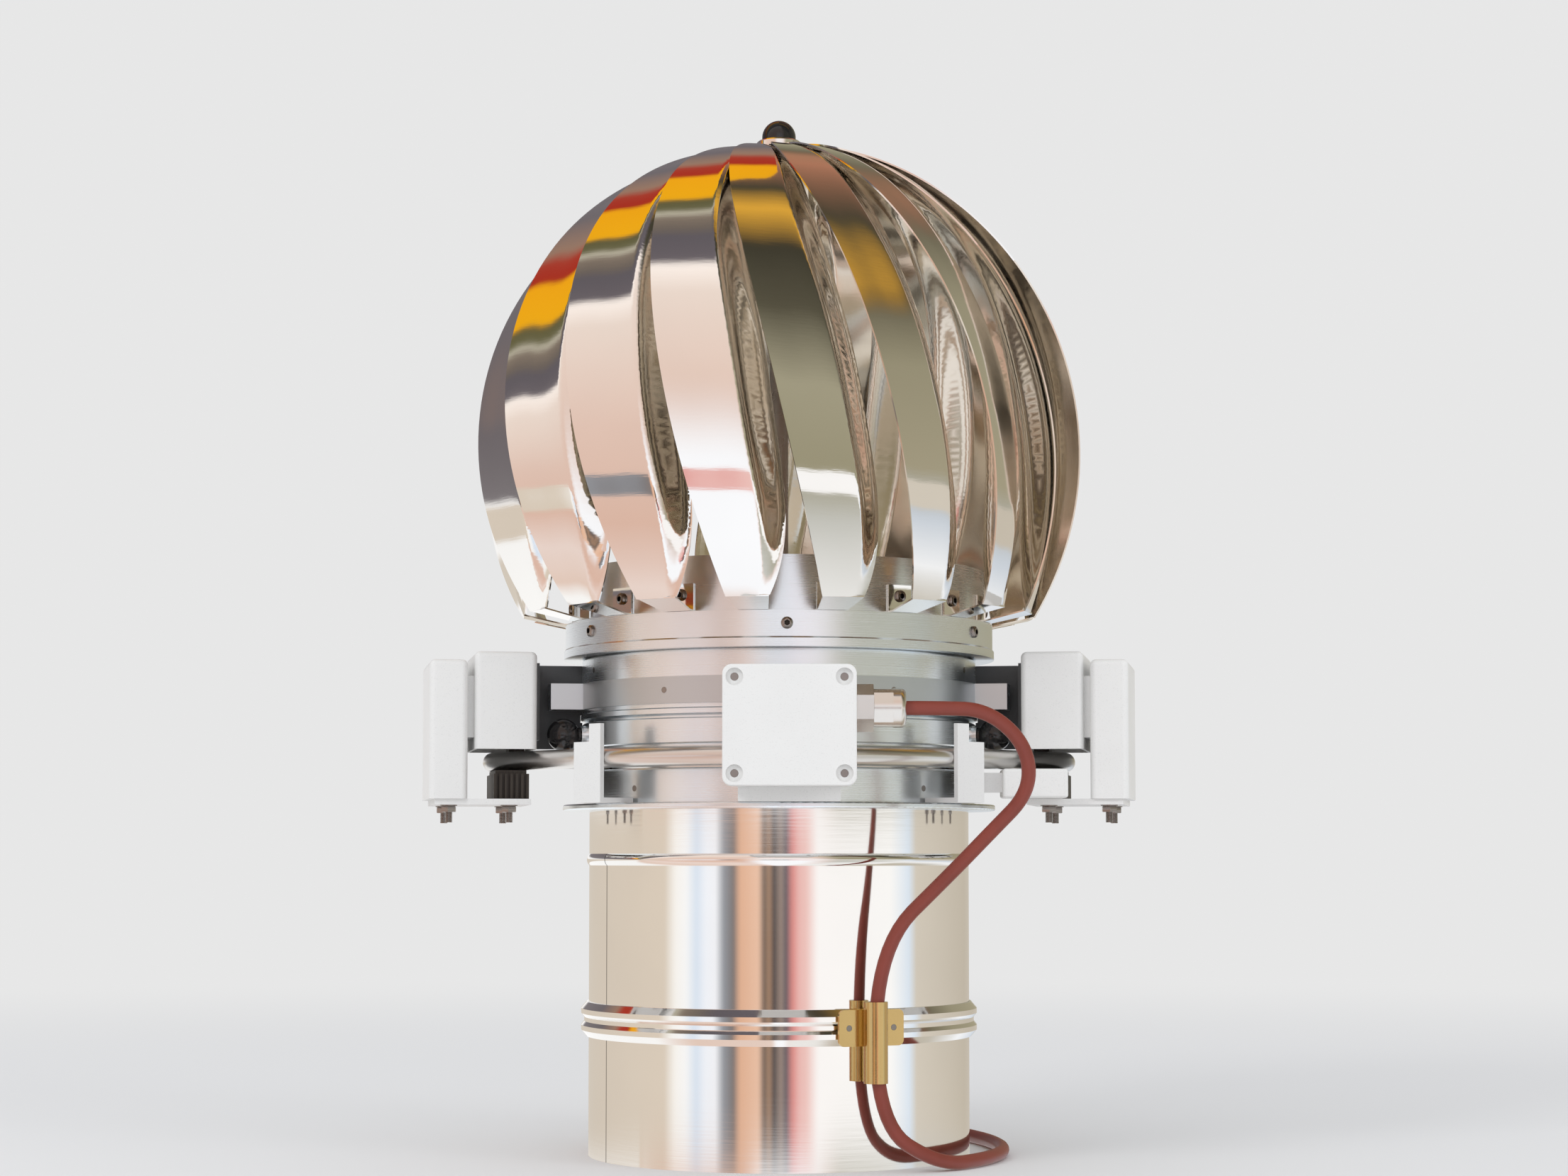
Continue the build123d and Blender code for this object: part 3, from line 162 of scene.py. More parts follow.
class Shader:
    """The node tree of a material or of the world."""

    def __init__(self, owner):
        owner.use_nodes = True
        self.tree = owner.node_tree
        self.tree.nodes.clear()

    def node(self, kind, settings=None, inputs=None, output=0):
        made = self.tree.nodes.new(kind)
        for name, value in (settings or {}).items():
            setattr(made, name, value)
        for socket, value in (inputs or {}).items():
            if isinstance(value, Value):
                self.tree.links.new(value.output, made.inputs[socket])
            else:
                made.inputs[socket].default_value = value
        return Value(self, made.outputs[output]) if made.outputs else made

    def math(self, operation, *values):
        return self.node("ShaderNodeMath", {"operation": operation}, dict(enumerate(values)))

    def mix(self, factor, a, b):
        """Colour between a and b."""
        inputs = {0: factor, 6: self.colour(a), 7: self.colour(b)}
        return self.node("ShaderNodeMix", {"data_type": "RGBA"}, inputs, 2)

    @staticmethod
    def colour(value):
        return value if isinstance(value, Value) else (*value, 1)

    def position(self):
        return self.node("ShaderNodeTexCoord", output="Object")

    def split(self, vector):
        """The three parts of a vector."""
        parts = self.node("ShaderNodeSeparateXYZ", {}, {0: vector}).output.node.outputs
        return [Value(self, part) for part in parts]

    def join(self, x, y, z=0.0):
        return self.node("ShaderNodeCombineXYZ", {}, {0: x, 1: y, 2: z})

    def vector(self, operation, *values, output="Vector"):
        settings = {"operation": operation}
        return self.node("ShaderNodeVectorMath", settings, dict(enumerate(values)), output)

    def length(self, vector):
        return self.vector("LENGTH", vector, output="Value")

    def stretched(self, scale):
        return self.node("ShaderNodeMapping", {}, {"Vector": self.position(), "Scale": scale})

    def noise(self, vector, scale, detail=2.0):
        inputs = {"Vector": vector, "Scale": scale, "Detail": detail}
        return self.node("ShaderNodeTexNoise", {}, inputs)

    def smooth(self, value, start, end):
        """Rises from 0 at start to 1 at end."""
        inputs = {"Value": value, "From Min": start, "From Max": end}
        return self.node("ShaderNodeMapRange", {"interpolation_type": "SMOOTHSTEP"}, inputs)

    def ramp(self, factor, stops):
        """Colours at positions between 0 and 1."""
        made = self.node("ShaderNodeValToRGB", {}, {0: factor})
        elements = made.output.node.color_ramp.elements
        while len(elements) < len(stops):
            elements.new(0.5)
        for element, (position, colour) in zip(elements, stops):
            element.position = position
            element.color = (*colour, 1)
        return made

    def bump(self, height, strength, distance, normal=None):
        inputs = {"Height": height, "Strength": strength, "Distance": distance}
        if normal is not None:
            inputs["Normal"] = normal
        return self.node("ShaderNodeBump", {}, inputs)

    def surface(self, inputs):
        shader = self.node("ShaderNodeBsdfPrincipled", {}, inputs)
        self.node("ShaderNodeOutputMaterial", {}, {"Surface": shader})


def new_material(name):
    material = bpy.data.materials.new(name)
    return material, Shader(material)


def scaled(colour, factor):
    return [min(1.0, part * factor) for part in colour]


# Finishes

# Degrees that a vane's flat turns from the globe's own direction at its outer edge, by elevation
VANE_TILTS = [
    (-32, 5.0), (-25, 15.3), (-12, 23.0), (5, 25.3),
    (22, 23.4), (40, 17.5), (57, 11.7), (70, 9.6),
]
TILT_SCALE = 45.0         # tilt that a ramp's white stands for
EVEN_SHARE = 0.92         # share of the even normal on a flat
DEGREES = 360 / FULL_TURN


def vane_side(shader, index):
    """Even world normal of a vane's flat, and -1 on the vane's inner side, 1 on its outer."""
    z = shader.split(shader.position())[2]
    rise = ((z - GLOBE_Z * MM) / (GLOBE_HALF_H * MM)).math("MINIMUM", 0.999)
    level = (1.0 - rise * rise).math("SQRT")
    elevation = rise.math("ARCSINE") * DEGREES
    lean = LEAN_LINEAR * elevation + LEAN_CUBIC * elevation * elevation * elevation
    stops = [((degrees + 90) / 180, [tilt / TILT_SCALE] * 3) for degrees, tilt in VANE_TILTS]
    tilt = TILT_SCALE * shader.ramp((elevation + 90.0) / 180.0, stops)
    turn = (VANE_FIRST + VANE_PITCH * index - lean + tilt) * (1 / DEGREES)
    tilt = tilt * (1 / DEGREES)
    out = level * GLOBE_HALF_H
    up = GLOBE_R * (LEAN_LINEAR * tilt.math("SINE") * level + tilt.math("COSINE") * rise)
    aim = shader.join(out * turn.math("COSINE"), out * turn.math("SINE"), up)
    flat = shader.vector("NORMALIZE", aim)
    own = shader.node("ShaderNodeTexCoord", output="Normal")
    facing_out = shader.vector("DOT_PRODUCT", own, flat, output="Value")
    side = facing_out.math("SIGN")
    share = EVEN_SHARE * shader.smooth(facing_out.math("ABSOLUTE"), 0.88, 0.96)
    aimed = shader.vector("MULTIPLY", flat, shader.join(side, side, side))
    even = shader.node("ShaderNodeMix", {"data_type": "VECTOR"}, {0: share, 4: own, 5: aimed}, 1)
    settings = {"vector_type": "NORMAL", "convert_from": "OBJECT", "convert_to": "WORLD"}
    even = shader.vector("NORMALIZE", even)
    return shader.node("ShaderNodeVectorTransform", settings, {0: even}), side


def vane_steel(index, colour):
    """Mirror-bright blade, even sheen outside; painted shade and warm reflection on its rougher
    inner side.
    """
    material, shader = new_material(f"vane_steel_{index + 1:02d}")
    even, side = vane_side(shader, index)
    grain = shader.noise(shader.stretched((90.0, 90.0, 900.0)), 1.0, 3.0)
    haze = shader.noise(shader.position(), 14.0, 3.0)
    inner = 0.5 - 0.5 * side
    polished = shader.mix(haze, scaled(colour, 0.95), scaled(colour, 1.05))
    # The inner side's darker tan colour is painted shade and warm reflection from between the
    # vanes
    inner_painted_shade = shader.mix(haze, (0.52, 0.46, 0.37), (0.90, 0.82, 0.72))
    shader.surface({
        "Base Color": shader.mix(inner, polished, inner_painted_shade),
        "Metallic": 1.0,
        "Roughness": 0.045 + 0.05 * inner + 0.03 * haze,
        "Normal": shader.bump(grain, 0.02, 0.0004, even),
    })
    return material


def polished_steel(name, colour, rough, grain_scale, wave=0.08, seam=None):
    """Bright rolled stainless sheet: faint grain and waves, a little haze and a welded seam."""
    material, shader = new_material(name)
    grain = shader.noise(shader.stretched(grain_scale), 1.0, 3.0)
    haze = shader.noise(shader.position(), 14.0, 3.0)
    waves = shader.noise(shader.position(), 9.0, 1.0)
    tint = shader.mix(haze, scaled(colour, 0.95), scaled(colour, 1.05))
    height = waves + 0.02 * grain
    if seam is not None:
        line = seam_line(shader, seam)
        tint = shader.mix(line, tint, scaled(colour, 0.30))
        height = height - 0.2 * line
    shader.surface({
        "Base Color": tint,
        "Metallic": 1.0,
        "Roughness": rough + 0.03 * haze + 0.02 * grain,
        "Normal": shader.bump(height, wave, 0.004),
    })
    return material


def seam_line(shader, seam):
    """1 on a thin upright line round the pipe at an angle from +X, otherwise 0."""
    x, y = shader.split(shader.position())[:2]
    sine = math.sin(math.radians(seam))
    cosine = math.cos(math.radians(seam))
    across = x * -sine + y * cosine
    outwards = x * cosine + y * sine
    near = 1.0 - shader.smooth(across.math("ABSOLUTE"), 0.25 * MM, 0.7 * MM)
    return near * shader.smooth(outwards, 0.0, 10 * MM)


def turned_aluminium(name, colour, rough):
    """Satin aluminium with fine lathe lines that run round the axis."""
    material, shader = new_material(name)
    x, y, z = shader.split(shader.position())
    radius = shader.length(shader.join(x, y))
    lines = shader.noise(shader.join(radius * 2600.0, z * 2600.0), 1.0)
    cloud = shader.noise(shader.position(), 22.0, 3.0)
    shader.surface({
        "Base Color": shader.mix(cloud, scaled(colour, 0.92), colour),
        "Metallic": 1.0,
        "Roughness": rough + 0.10 * cloud + 0.08 * lines,
        "Normal": shader.bump(lines, 0.05, 0.0004),
    })
    return material


def powder_coat(name, colour, rough):
    """Smooth powder coat with slight orange peel, fine specks and a trace of dust."""
    material, shader = new_material(name)
    peel = shader.noise(shader.position(), 900.0)
    dust = shader.noise(shader.position(), 35.0, 4.0)
    specks = shader.smooth(shader.noise(shader.position(), 1500.0, 1.0), 0.62, 0.70)
    coat = shader.mix(dust, scaled(colour, 0.94), colour)
    shader.surface({
        "Base Color": shader.mix(0.10 * specks, coat, scaled(colour, 0.25)),
        "Roughness": rough + 0.12 * dust,
        "Normal": shader.bump(peel, 0.10, 0.0003),
    })
    return material


def gloss_black(name):
    """Polished black plastic of the balls, the dome nut and the connector."""
    material, shader = new_material(name)
    specks = shader.noise(shader.position(), 400.0)
    shader.surface({
        "Base Color": shader.mix(specks, (0.010, 0.010, 0.012), (0.020, 0.019, 0.019)),
        "Roughness": 0.08 + 0.06 * specks,
    })
    return material


def lamination_stack(name):
    """Varnished laminations: fine upright lines with uneven dark varnish."""
    material, shader = new_material(name)
    lines = shader.noise(shader.stretched((1500.0, 1500.0, 20.0)), 1.0)
    shader.surface({
        "Base Color": shader.mix(lines, (0.012, 0.011, 0.010), (0.075, 0.062, 0.050)),
        "Metallic": 0.4,
        "Roughness": 0.35 + 0.25 * lines,
        "Normal": shader.bump(lines, 0.5, 0.0004),
    })
    return material


def metal(name, colour, rough, spots=60.0):
    """Small metal parts: plating with slight patches."""
    material, shader = new_material(name)
    patches = shader.noise(shader.position(), spots, 3.0)
    fine = shader.noise(shader.position(), 1400.0, 1.0)
    shader.surface({
        "Base Color": shader.mix(patches, scaled(colour, 0.86), colour),
        "Metallic": 1.0,
        "Roughness": rough + 0.14 * patches,
        "Normal": shader.bump(fine, 0.06, 0.0002),
    })
    return material


def rubber(name, colour, rough):
    """Soft sheath or core insulation: satin, slightly dusty, with fine die lines."""
    material, shader = new_material(name)
    bloom = shader.noise(shader.position(), 60.0, 4.0)
    fine = shader.noise(shader.position(), 1800.0)
    shader.surface({
        "Base Color": shader.mix(bloom, scaled(colour, 0.82), scaled(colour, 1.25)),
        "Roughness": rough + 0.16 * bloom,
        "Normal": shader.bump(fine, 0.10, 0.0002),
    })
    return material


MATERIALS = {}
SEAM_ANGLE = -151.8
ROLLED_GRAIN = (30.0, 30.0, 700.0)
EVEN_GRAIN = (60.0, 60.0, 60.0)


def make_materials(colours):
    """Make every finish, by the name of its slot or of its special finish."""
    steel = list(colours.steel)
    aluminium = list(colours.aluminium)
    MATERIALS.update({
        "cap_steel": polished_steel("cap_steel", steel, 0.06, EVEN_GRAIN, 0.02),
        "pipe_steel": polished_steel("pipe_steel", steel, 0.04, ROLLED_GRAIN, 0.05, SEAM_ANGLE),
        "polished_steel": polished_steel("neck_steel", steel, 0.05, ROLLED_GRAIN),
        "tube_steel": polished_steel("tube_steel", scaled(steel, 0.85), 0.26, EVEN_GRAIN, 0.02),
        "spun_aluminium": turned_aluminium("spun_aluminium", aluminium, 0.17),
        "strap_aluminium": turned_aluminium("strap_aluminium", scaled(aluminium, 0.72), 0.30),
        "white_paint": powder_coat("white_coat", list(colours.white), 0.38),
        "dark_paint": powder_coat("dark_coat", list(colours.dark), 0.42),
        "black_laminate": lamination_stack("lamination_stack"),
        "black_plastic": gloss_black("gloss_black"),
        "zinc_steel": metal("plated_screws", [0.34, 0.31, 0.29], 0.20),
        # Near-black recess colour: dark grease and painted shade in the screw recesses
        "recess": metal("screw_recess_shade", [0.05, 0.045, 0.04], 0.45),
        "nickel_brass": metal("nickel_plate", [0.80, 0.78, 0.74], 0.16),
        "brass": metal("saddle_brass", list(colours.brass), 0.10, 30.0),
        "magnet": powder_coat("ferrite", [0.05, 0.05, 0.055], 0.6),
        "silicone": rubber("silicone", list(colours.silicone), 0.36),
        "core_brown": rubber("core_brown", [0.10, 0.035, 0.015], 0.4),
        "core_blue": rubber("core_blue", [0.02, 0.07, 0.30], 0.4),
        "core_green": rubber("core_green", [0.10, 0.25, 0.02], 0.4),
    })


SLOT_OF = {row["node"]: row["material_slot"] for row in frame["record"]["subparts"]}

# Solids whose finish differs from their slot's usual one
SPECIAL_FINISH = {
    "flue_pipe_lower": "pipe_steel",
    "flue_pipe_upper": "pipe_steel",
    "wiring_conduit": "tube_steel",
    "strap": "strap_aluminium",
    "cap_disc": "cap_steel",
}


class DRAUGHTFAN_OT_finishes(bpy.types.Operator):
    """Give every solid its finish"""
    bl_idname = "draughtfan.finishes"
    bl_label = "Finishes"

    def execute(self, context):
        colours = context.scene.fan_colours
        make_materials(colours)
        finishes = {**SLOT_OF, **SPECIAL_FINISH}
        for index in range(VANE_COUNT):
            vane = f"vane_{index + 1:02d}"
            finishes[vane] = vane
            MATERIALS[vane] = vane_steel(index, list(colours.steel))
        for node, solid in frame["nodes"].items():
            solid.data.materials.clear()
            solid.data.materials.append(MATERIALS[finishes[node]])
        return {"FINISHED"}


# Helpers for pieces

SHARP_EDGE = math.radians(35)


def put(bm, name, material, body, replaced=()):
    """Turn a bmesh into a piece that rides on a body."""
    bmesh.ops.recalc_face_normals(bm, faces=bm.faces)
    mesh = bpy.data.meshes.new(name)
    bm.to_mesh(mesh)
    bm.free()
    mesh.polygons.foreach_set("use_smooth", [True] * len(mesh.polygons))
    mesh.set_sharp_from_angle(angle=SHARP_EDGE)
    mesh.materials.append(MATERIALS[material])
    piece = bpy.data.objects.new(name, mesh)
    bpy.context.scene.collection.objects.link(piece)
    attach(piece, body)
    if replaced:
        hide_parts(*replaced)
    return piece


def spun(points, segments):
    """A bmesh turned about the Z axis from (radius, height) points."""
    bm = bmesh.new()
    verts = [bm.verts.new((r, 0, z)) for r, z in points]
    edges = [bm.edges.new(pair) for pair in zip(verts, verts[1:])]
    bmesh.ops.spin(bm, geom=verts + edges, axis=(0, 0, 1), cent=(0, 0, 0), steps=segments,
                   angle=FULL_TURN, use_merge=True)
    bmesh.ops.remove_doubles(bm, verts=bm.verts, dist=1e-7)
    return bm


def as_mesh(bm):
    """The finished mesh of a bmesh that is copied to several places."""
    bmesh.ops.recalc_face_normals(bm, faces=bm.faces)
    mesh = bpy.data.meshes.new("copied")
    bm.to_mesh(mesh)
    bm.free()
    return mesh


def outward(angle):
    """Level direction away from the axis, at an angle in degrees."""
    return Vector((math.cos(math.radians(angle)), math.sin(math.radians(angle)), 0))


def facing(place, direction):
    """Matrix that sets a shape drawn on +Z at a place, turned to a direction."""
    turn = Vector(direction).to_track_quat("Z", "Y").to_matrix().to_4x4()
    return Matrix.Translation(place) @ turn


def add_copy(bm, mesh, matrix):
    """Add a placed copy of a mesh to a bmesh."""
    placed = mesh.copy()
    placed.transform(matrix)
    bm.from_mesh(placed)
    bpy.data.meshes.remove(placed)


# Screws, drawn with a head of radius 1

HEAD_HEIGHT = 0.62
HEAD_OUTLINE = [
    (0, 0), (0.97, 0), (1.0, 0.05), (1.0, 0.24), (0.93, 0.42), (0.76, 0.55), (0.5, 0.61),
    (0, HEAD_HEIGHT),
]
RECESS_R = 0.62           # faces within this radius and below this height line the recess
RECESS_TOP = 0.55


def recessed_head(cutter, depth):
    """Pan head with a recess cut in its top."""
    floor = Matrix.Translation((0, 0, HEAD_HEIGHT - depth))
    bmesh.ops.transform(cutter, matrix=floor, verts=cutter.verts)
    body = bpy.data.objects.new("head", as_mesh(spun(HEAD_OUTLINE, 28)))
    cut = bpy.data.objects.new("cut", as_mesh(cutter))
    for item in (body, cut):
        bpy.context.scene.collection.objects.link(item)
    recess = body.modifiers.new("recess", "BOOLEAN")
    recess.operation = "DIFFERENCE"
    recess.solver = "EXACT"
    recess.object = cut
    bpy.context.view_layer.update()
    evaluated = body.evaluated_get(bpy.context.evaluated_depsgraph_get())
    result = bpy.data.meshes.new_from_object(evaluated)
    for item in (body, cut):
        bpy.data.objects.remove(item)
    # Faces in the recess take the second slot, the near-black painted shade
    for face in result.polygons:
        inside = face.center.xy.length < RECESS_R and face.center.z < RECESS_TOP
        face.material_index = int(inside)
    return result


def cross_cutter():
    """Two crossed tapering blades, with their points at z = 0."""
    bm = bmesh.new()
    width, thickness, height = 1.2, 0.3, 0.7
    for turn in (0, 90):
        blade = bmesh.ops.create_cube(bm, size=1)["verts"]
        for vert in blade:
            taper = 1.0 if vert.co.z > 0 else 0.45
            x, y, z = vert.co
            vert.co = Vector((x * width * taper, y * thickness, (z + 0.5) * height))
        bmesh.ops.rotate(bm, verts=blade, matrix=Matrix.Rotation(math.radians(turn), 3, "Z"))
    return bm


def socket_cutter():
    """Hexagon socket with its floor at z = 0."""
    bm = bmesh.new()
    bmesh.ops.create_cone(bm, cap_ends=True, segments=6, radius1=0.5, radius2=0.52, depth=1.0,
                          matrix=Matrix.Translation((0, 0, 0.5)))
    return bm


def with_shank(bm, place, direction, radius, length):
    """A plain shank behind a head."""
    middle = Vector(place) - Vector(direction) * (length / 2)
    bmesh.ops.create_cone(bm, cap_ends=True, segments=16, radius1=radius, radius2=radius,
                          depth=length, matrix=facing(middle, direction))


def screw_group(name, seats, mesh, body, replaced, shank_share, shank_length):
    """One piece of like screws. A seat is a place, a direction and a head radius, in metres."""
    bm = bmesh.new()
    for place, direction, radius in seats:
        add_copy(bm, mesh, facing(place, direction) @ Matrix.Scale(radius, 4))
        with_shank(bm, place, direction, radius * shank_share, shank_length)
    group = put(bm, name, "zinc_steel", body, replaced)
    # The second slot is the recess's near-black painted shade
    group.data.materials.append(MATERIALS["recess"])


def ring_seats(angles, radius, z, head):
    """Seats on an upright wall, looking away from the axis."""
    up = Vector((0, 0, z * MM))
    return [(outward(angle) * radius * MM + up, outward(angle), head) for angle in angles]


# Angles, radius and height of the screws on each upright wall
RING_SCREWS = (range(-88, 272, 60), 113.0, 270.5)
LOWER_COLLAR_SCREWS = ((45, 135, 225, 315), 103.2, 189.85)
COLLAR_SCREWS = ((-157, -23, 67, 113), 104.0, 251.75)
STRAP_SCREWS = ((-123, -57), 105.6, 238.75)
LUG_SCREWS = ((-UNIT_TURN, 180 + UNIT_TURN), 122.0, 238.75)
VANE_SCREW_R = 109.6
VANE_SCREW_Z = 285.5
VANE_SCREW_SHIFT = 0.23   # from a foot's outer edge, as a share of the vanes' pitch
FOOT_SCREWS = ((83.7, -71.1), (-83.7, -71.1), (-10, -109.5), (20, -109.5))
FOOT_TOP_Z = 185
SADDLE_PLATE_R = 105.6
SADDLE_SCREW_OUT = 12.4
BOX_X = 5
BOX_Z = 218
LID_SCREW_X = 26.2
LID_SCREW_Z = 23
LID_SEAT_DEPTH = 2.2      # how far the lid's screw heads stand in the lid
EAR_FACE_X = 4.5          # outer face of the joint band's ears
BAND_BOLT_Y = 111.8


def vane_screw_angle(index):
    """Direction of a vane's foot screw, as in the solids."""
    lean = LEAN_LINEAR * VANE_FOOT + LEAN_CUBIC * VANE_FOOT ** 3
    return VANE_FIRST - lean + VANE_SCREW_SHIFT * VANE_PITCH + VANE_PITCH * index


class DRAUGHTFAN_OT_rotor_screws(bpy.types.Operator):
    """Make the socket screws of the vanes' feet and of the rotor ring"""
    bl_idname = "draughtfan.rotor_screws"
    bl_label = "Rotor screws"

    def execute(self, context):
        head = context.scene.fan_sizes.screw_head / 2
        angles = [vane_screw_angle(index) for index in range(VANE_COUNT)]
        seats = ring_seats(angles, VANE_SCREW_R, VANE_SCREW_Z, head)
        seats += ring_seats(*RING_SCREWS, head)
        screw_group("rotor_socket_screws", seats, recessed_head(socket_cutter(), 0.40), "rotor",
                    ["rotor_screws"], 0.5, 2 * MM)
        return {"FINISHED"}


class DRAUGHTFAN_OT_fixed_screws(bpy.types.Operator):
    """Make the cross-recessed screws of the fixed parts and the joint band's bolt"""
    bl_idname = "draughtfan.fixed_screws"
    bl_label = "Fixed screws"

    def execute(self, context):
        sizes = context.scene.fan_sizes
        head = sizes.screw_head / 2
        cross = recessed_head(cross_cutter(), 0.42)
        seats = ring_seats(*LOWER_COLLAR_SCREWS, head)
        seats += ring_seats(*STRAP_SCREWS, head)
        seats += ring_seats(*COLLAR_SCREWS, head)
        seats += ring_seats(*LUG_SCREWS, sizes.lug_screw_head / 2)
        seats += self.foot_seats(head) + self.saddle_seats(head)
        screw_group("fixed_cross_screws", seats, cross, "stator", ["fixed_screws"], 0.5, 1.4 * MM)
        lid = self.lid_seats(sizes.lid_screw_head / 2)
        screw_group("lid_cross_screws", lid, cross, "stator", ["lid_screws"], 0.47, 12 * MM)
        self.band_bolt(cross, head)
        return {"FINISHED"}

    @staticmethod
    def foot_seats(head):
        """Screws in the feet of the brackets and of the box plate."""
        up = Vector((0, 0, 1))
        return [(Vector((x, y, FOOT_TOP_Z)) * MM, up, head) for x, y in FOOT_SCREWS]

    @staticmethod
    def saddle_seats(head):
        """Screws of the lead's saddle."""
        saddle = outward(SADDLE_ANGLE)
        side = outward(SADDLE_ANGLE + 90)
        middle = saddle * SADDLE_PLATE_R + Vector((0, 0, JOINT_Z))
        return [((middle + side * x) * MM, saddle, head)
                for x in (-SADDLE_SCREW_OUT, SADDLE_SCREW_OUT)]

    @staticmethod
    def lid_seats(head):
        """Screws at the corners of the junction box's lid, sunk in its front."""
        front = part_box("lid_screws")[0][1] + LID_SEAT_DEPTH * MM
        seats = []
        for x in (-LID_SCREW_X, LID_SCREW_X):
            for z in (-LID_SCREW_Z, LID_SCREW_Z):
                place = Vector(((BOX_X + x) * MM, front, (BOX_Z + z) * MM))
                seats.append((place, Vector((0, -1, 0)), head))
        return seats

    @staticmethod
    def band_bolt(cross, head):
        """Bolt across the joint band's ears, with a nut on its far end."""
        bm = bmesh.new()
        nut_height = 2.4 * MM
        past_nut = 0.8 * MM
        far_ear = Vector((EAR_FACE_X, BAND_BOLT_Y, JOINT_Z)) * MM
        near_ear = Vector((-far_ear.x, far_ear.y, far_ear.z))
        along = Vector((1, 0, 0))
        shank = 2 * far_ear.x + nut_height + past_nut
        add_copy(bm, cross, facing(near_ear, -along) @ Matrix.Scale(head, 4))
        with_shank(bm, near_ear, -along, head * 0.5, shank)
        add_copy(bm, as_mesh(chamfered_nut(2 * head, nut_height)), facing(far_ear, along))
        bolt = put(bm, "band_bolt", "zinc_steel", "stator")
        bolt.data.materials.append(MATERIALS["recess"])


# Studs and nuts below the drive units

STUD_OUT = (144.4, 175.275)      # two rows of studs, measured out from the axis
STUD_ALONG = 19.8                # to each side of a drive unit's middle
BASE_PLATE_Z = 182               # underside of the drive units' base plates
THREAD_PITCH = 0.7
THREAD_ROOT = 0.86               # thread's root as a share of the stud's radius


def chamfered_nut(across_flats, height):
    """Hexagon nut with softened corners, standing on z = 0."""
    bm = bmesh.new()
    radius = across_flats / math.sqrt(3)
    bmesh.ops.create_cone(bm, cap_ends=True, segments=6, radius1=radius, radius2=radius,
                          depth=height, matrix=Matrix.Translation((0, 0, height / 2)))
    rims = []
    for edge in bm.edges:
        start, end = edge.verts
        if abs(start.co.z - end.co.z) < height / 2:
            rims.append(edge)
    bmesh.ops.bevel(bm, geom=rims, offset=height * 0.12, segments=2, profile=0.5, affect="EDGES",
                    material=-1, clamp_overlap=True)
    return bm


def threaded_stud(radius, length, pitch):
    """Stud with thread ridges, standing on z = 0."""
    turns = round(length / pitch)
    root = radius * THREAD_ROOT
    points = [(0, 0)]
    for turn in range(turns):
        z = turn * pitch
        points += [(root, z), (radius, z + pitch * 0.5)]
    return spun([*points, (root, turns * pitch), (0, turns * pitch)], 20)


class DRAUGHTFAN_OT_studs(bpy.types.Operator):
    """Make the threaded studs, nuts and washers below the drive units"""
    bl_idname = "draughtfan.studs"
    bl_label = "Studs"

    def execute(self, context):
        radius = context.scene.fan_sizes.stud / 2
        nut_height = 1.6 * radius
        nut = as_mesh(chamfered_nut(3.5 * radius, nut_height))
        rim = 2.2 * radius
        thick = 0.25 * radius
        washer = as_mesh(spun([(0, 0), (rim, 0), (rim, thick), (0, thick)], 28))
        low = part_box("unit_studs")[0][2]
        plate = BASE_PLATE_Z * MM
        inside = 5 * MM
        stud = as_mesh(threaded_stud(radius, plate + inside - low, THREAD_PITCH * MM))
        heights = ((stud, low), (washer, plate - thick), (nut, plate - thick - nut_height))
        bm = bmesh.new()
        for x, y in self.places():
            for mesh, z in heights:
                add_copy(bm, mesh, Matrix.Translation((x * MM, y * MM, z)))
        put(bm, "threaded_studs", "zinc_steel", "stator", ["unit_studs"])
        return {"FINISHED"}

    @staticmethod
    def places():
        """Plan places of the eight studs, in millimetres."""
        turn = Matrix.Rotation(math.radians(-UNIT_TURN), 3, "Z")
        spots = []
        for side in (1, -1):
            for out in STUD_OUT:
                for along in (-STUD_ALONG, STUD_ALONG):
                    spot = turn @ Vector((out, along, 0))
                    spots.append((side * spot.x, spot.y))
        return spots


# Lead, in millimetres

LEAD_EXIT = (61.1, -142.5, 226.9)
LEAD_LOOP = [             # from the gland to the saddle
    (77.1, -142.5, 226.9), (100.5, -141.0, 226.2), (119.5, -137.5, 209.5),
    (121.8, -132.5, 187.0), (103.0, -124.5, 167.3), (84.5, -117.5, 147.8),
]
LEAD_FLOOR = [            # on the floor, round the right of the pipe
    (79.0, -96.0), (106.0, -61.0), (118.0, -18.0), (115.0, 28.0), (101.0, 72.0), (84.0, 105.0),
]
LEAD_R = 3.5
SADDLE_ENDS = (110.5, 24.0)      # heights of the ends of its straight run
COIL_CENTRE = (10.0, 166.0)
COIL_OUTER_R = 45.6
COIL_PITCH = 7.2
COIL_ENTRY_X = (69.0, 41.0, 18.0)
COIL_TURNS = 3.2
COIL_STEPS = 16
CORE_LENGTH = 14.0
FERRULE_LENGTH = 7.0


def lead_route():
    """The lead's points in millimetres: loop, saddle, floor and coil."""
    saddle = outward(SADDLE_ANGLE) * SADDLE_AXIS_R
    straight = [(saddle.x, saddle.y, z) for z in SADDLE_ENDS]
    floor = [(x, y, LEAD_R) for x, y in LEAD_FLOOR]
    front = COIL_CENTRE[1] - COIL_OUTER_R
    entry = [(x, front, LEAD_R) for x in COIL_ENTRY_X]
    return [LEAD_EXIT, *LEAD_LOOP, *straight, *floor, *entry, *coil_points()]


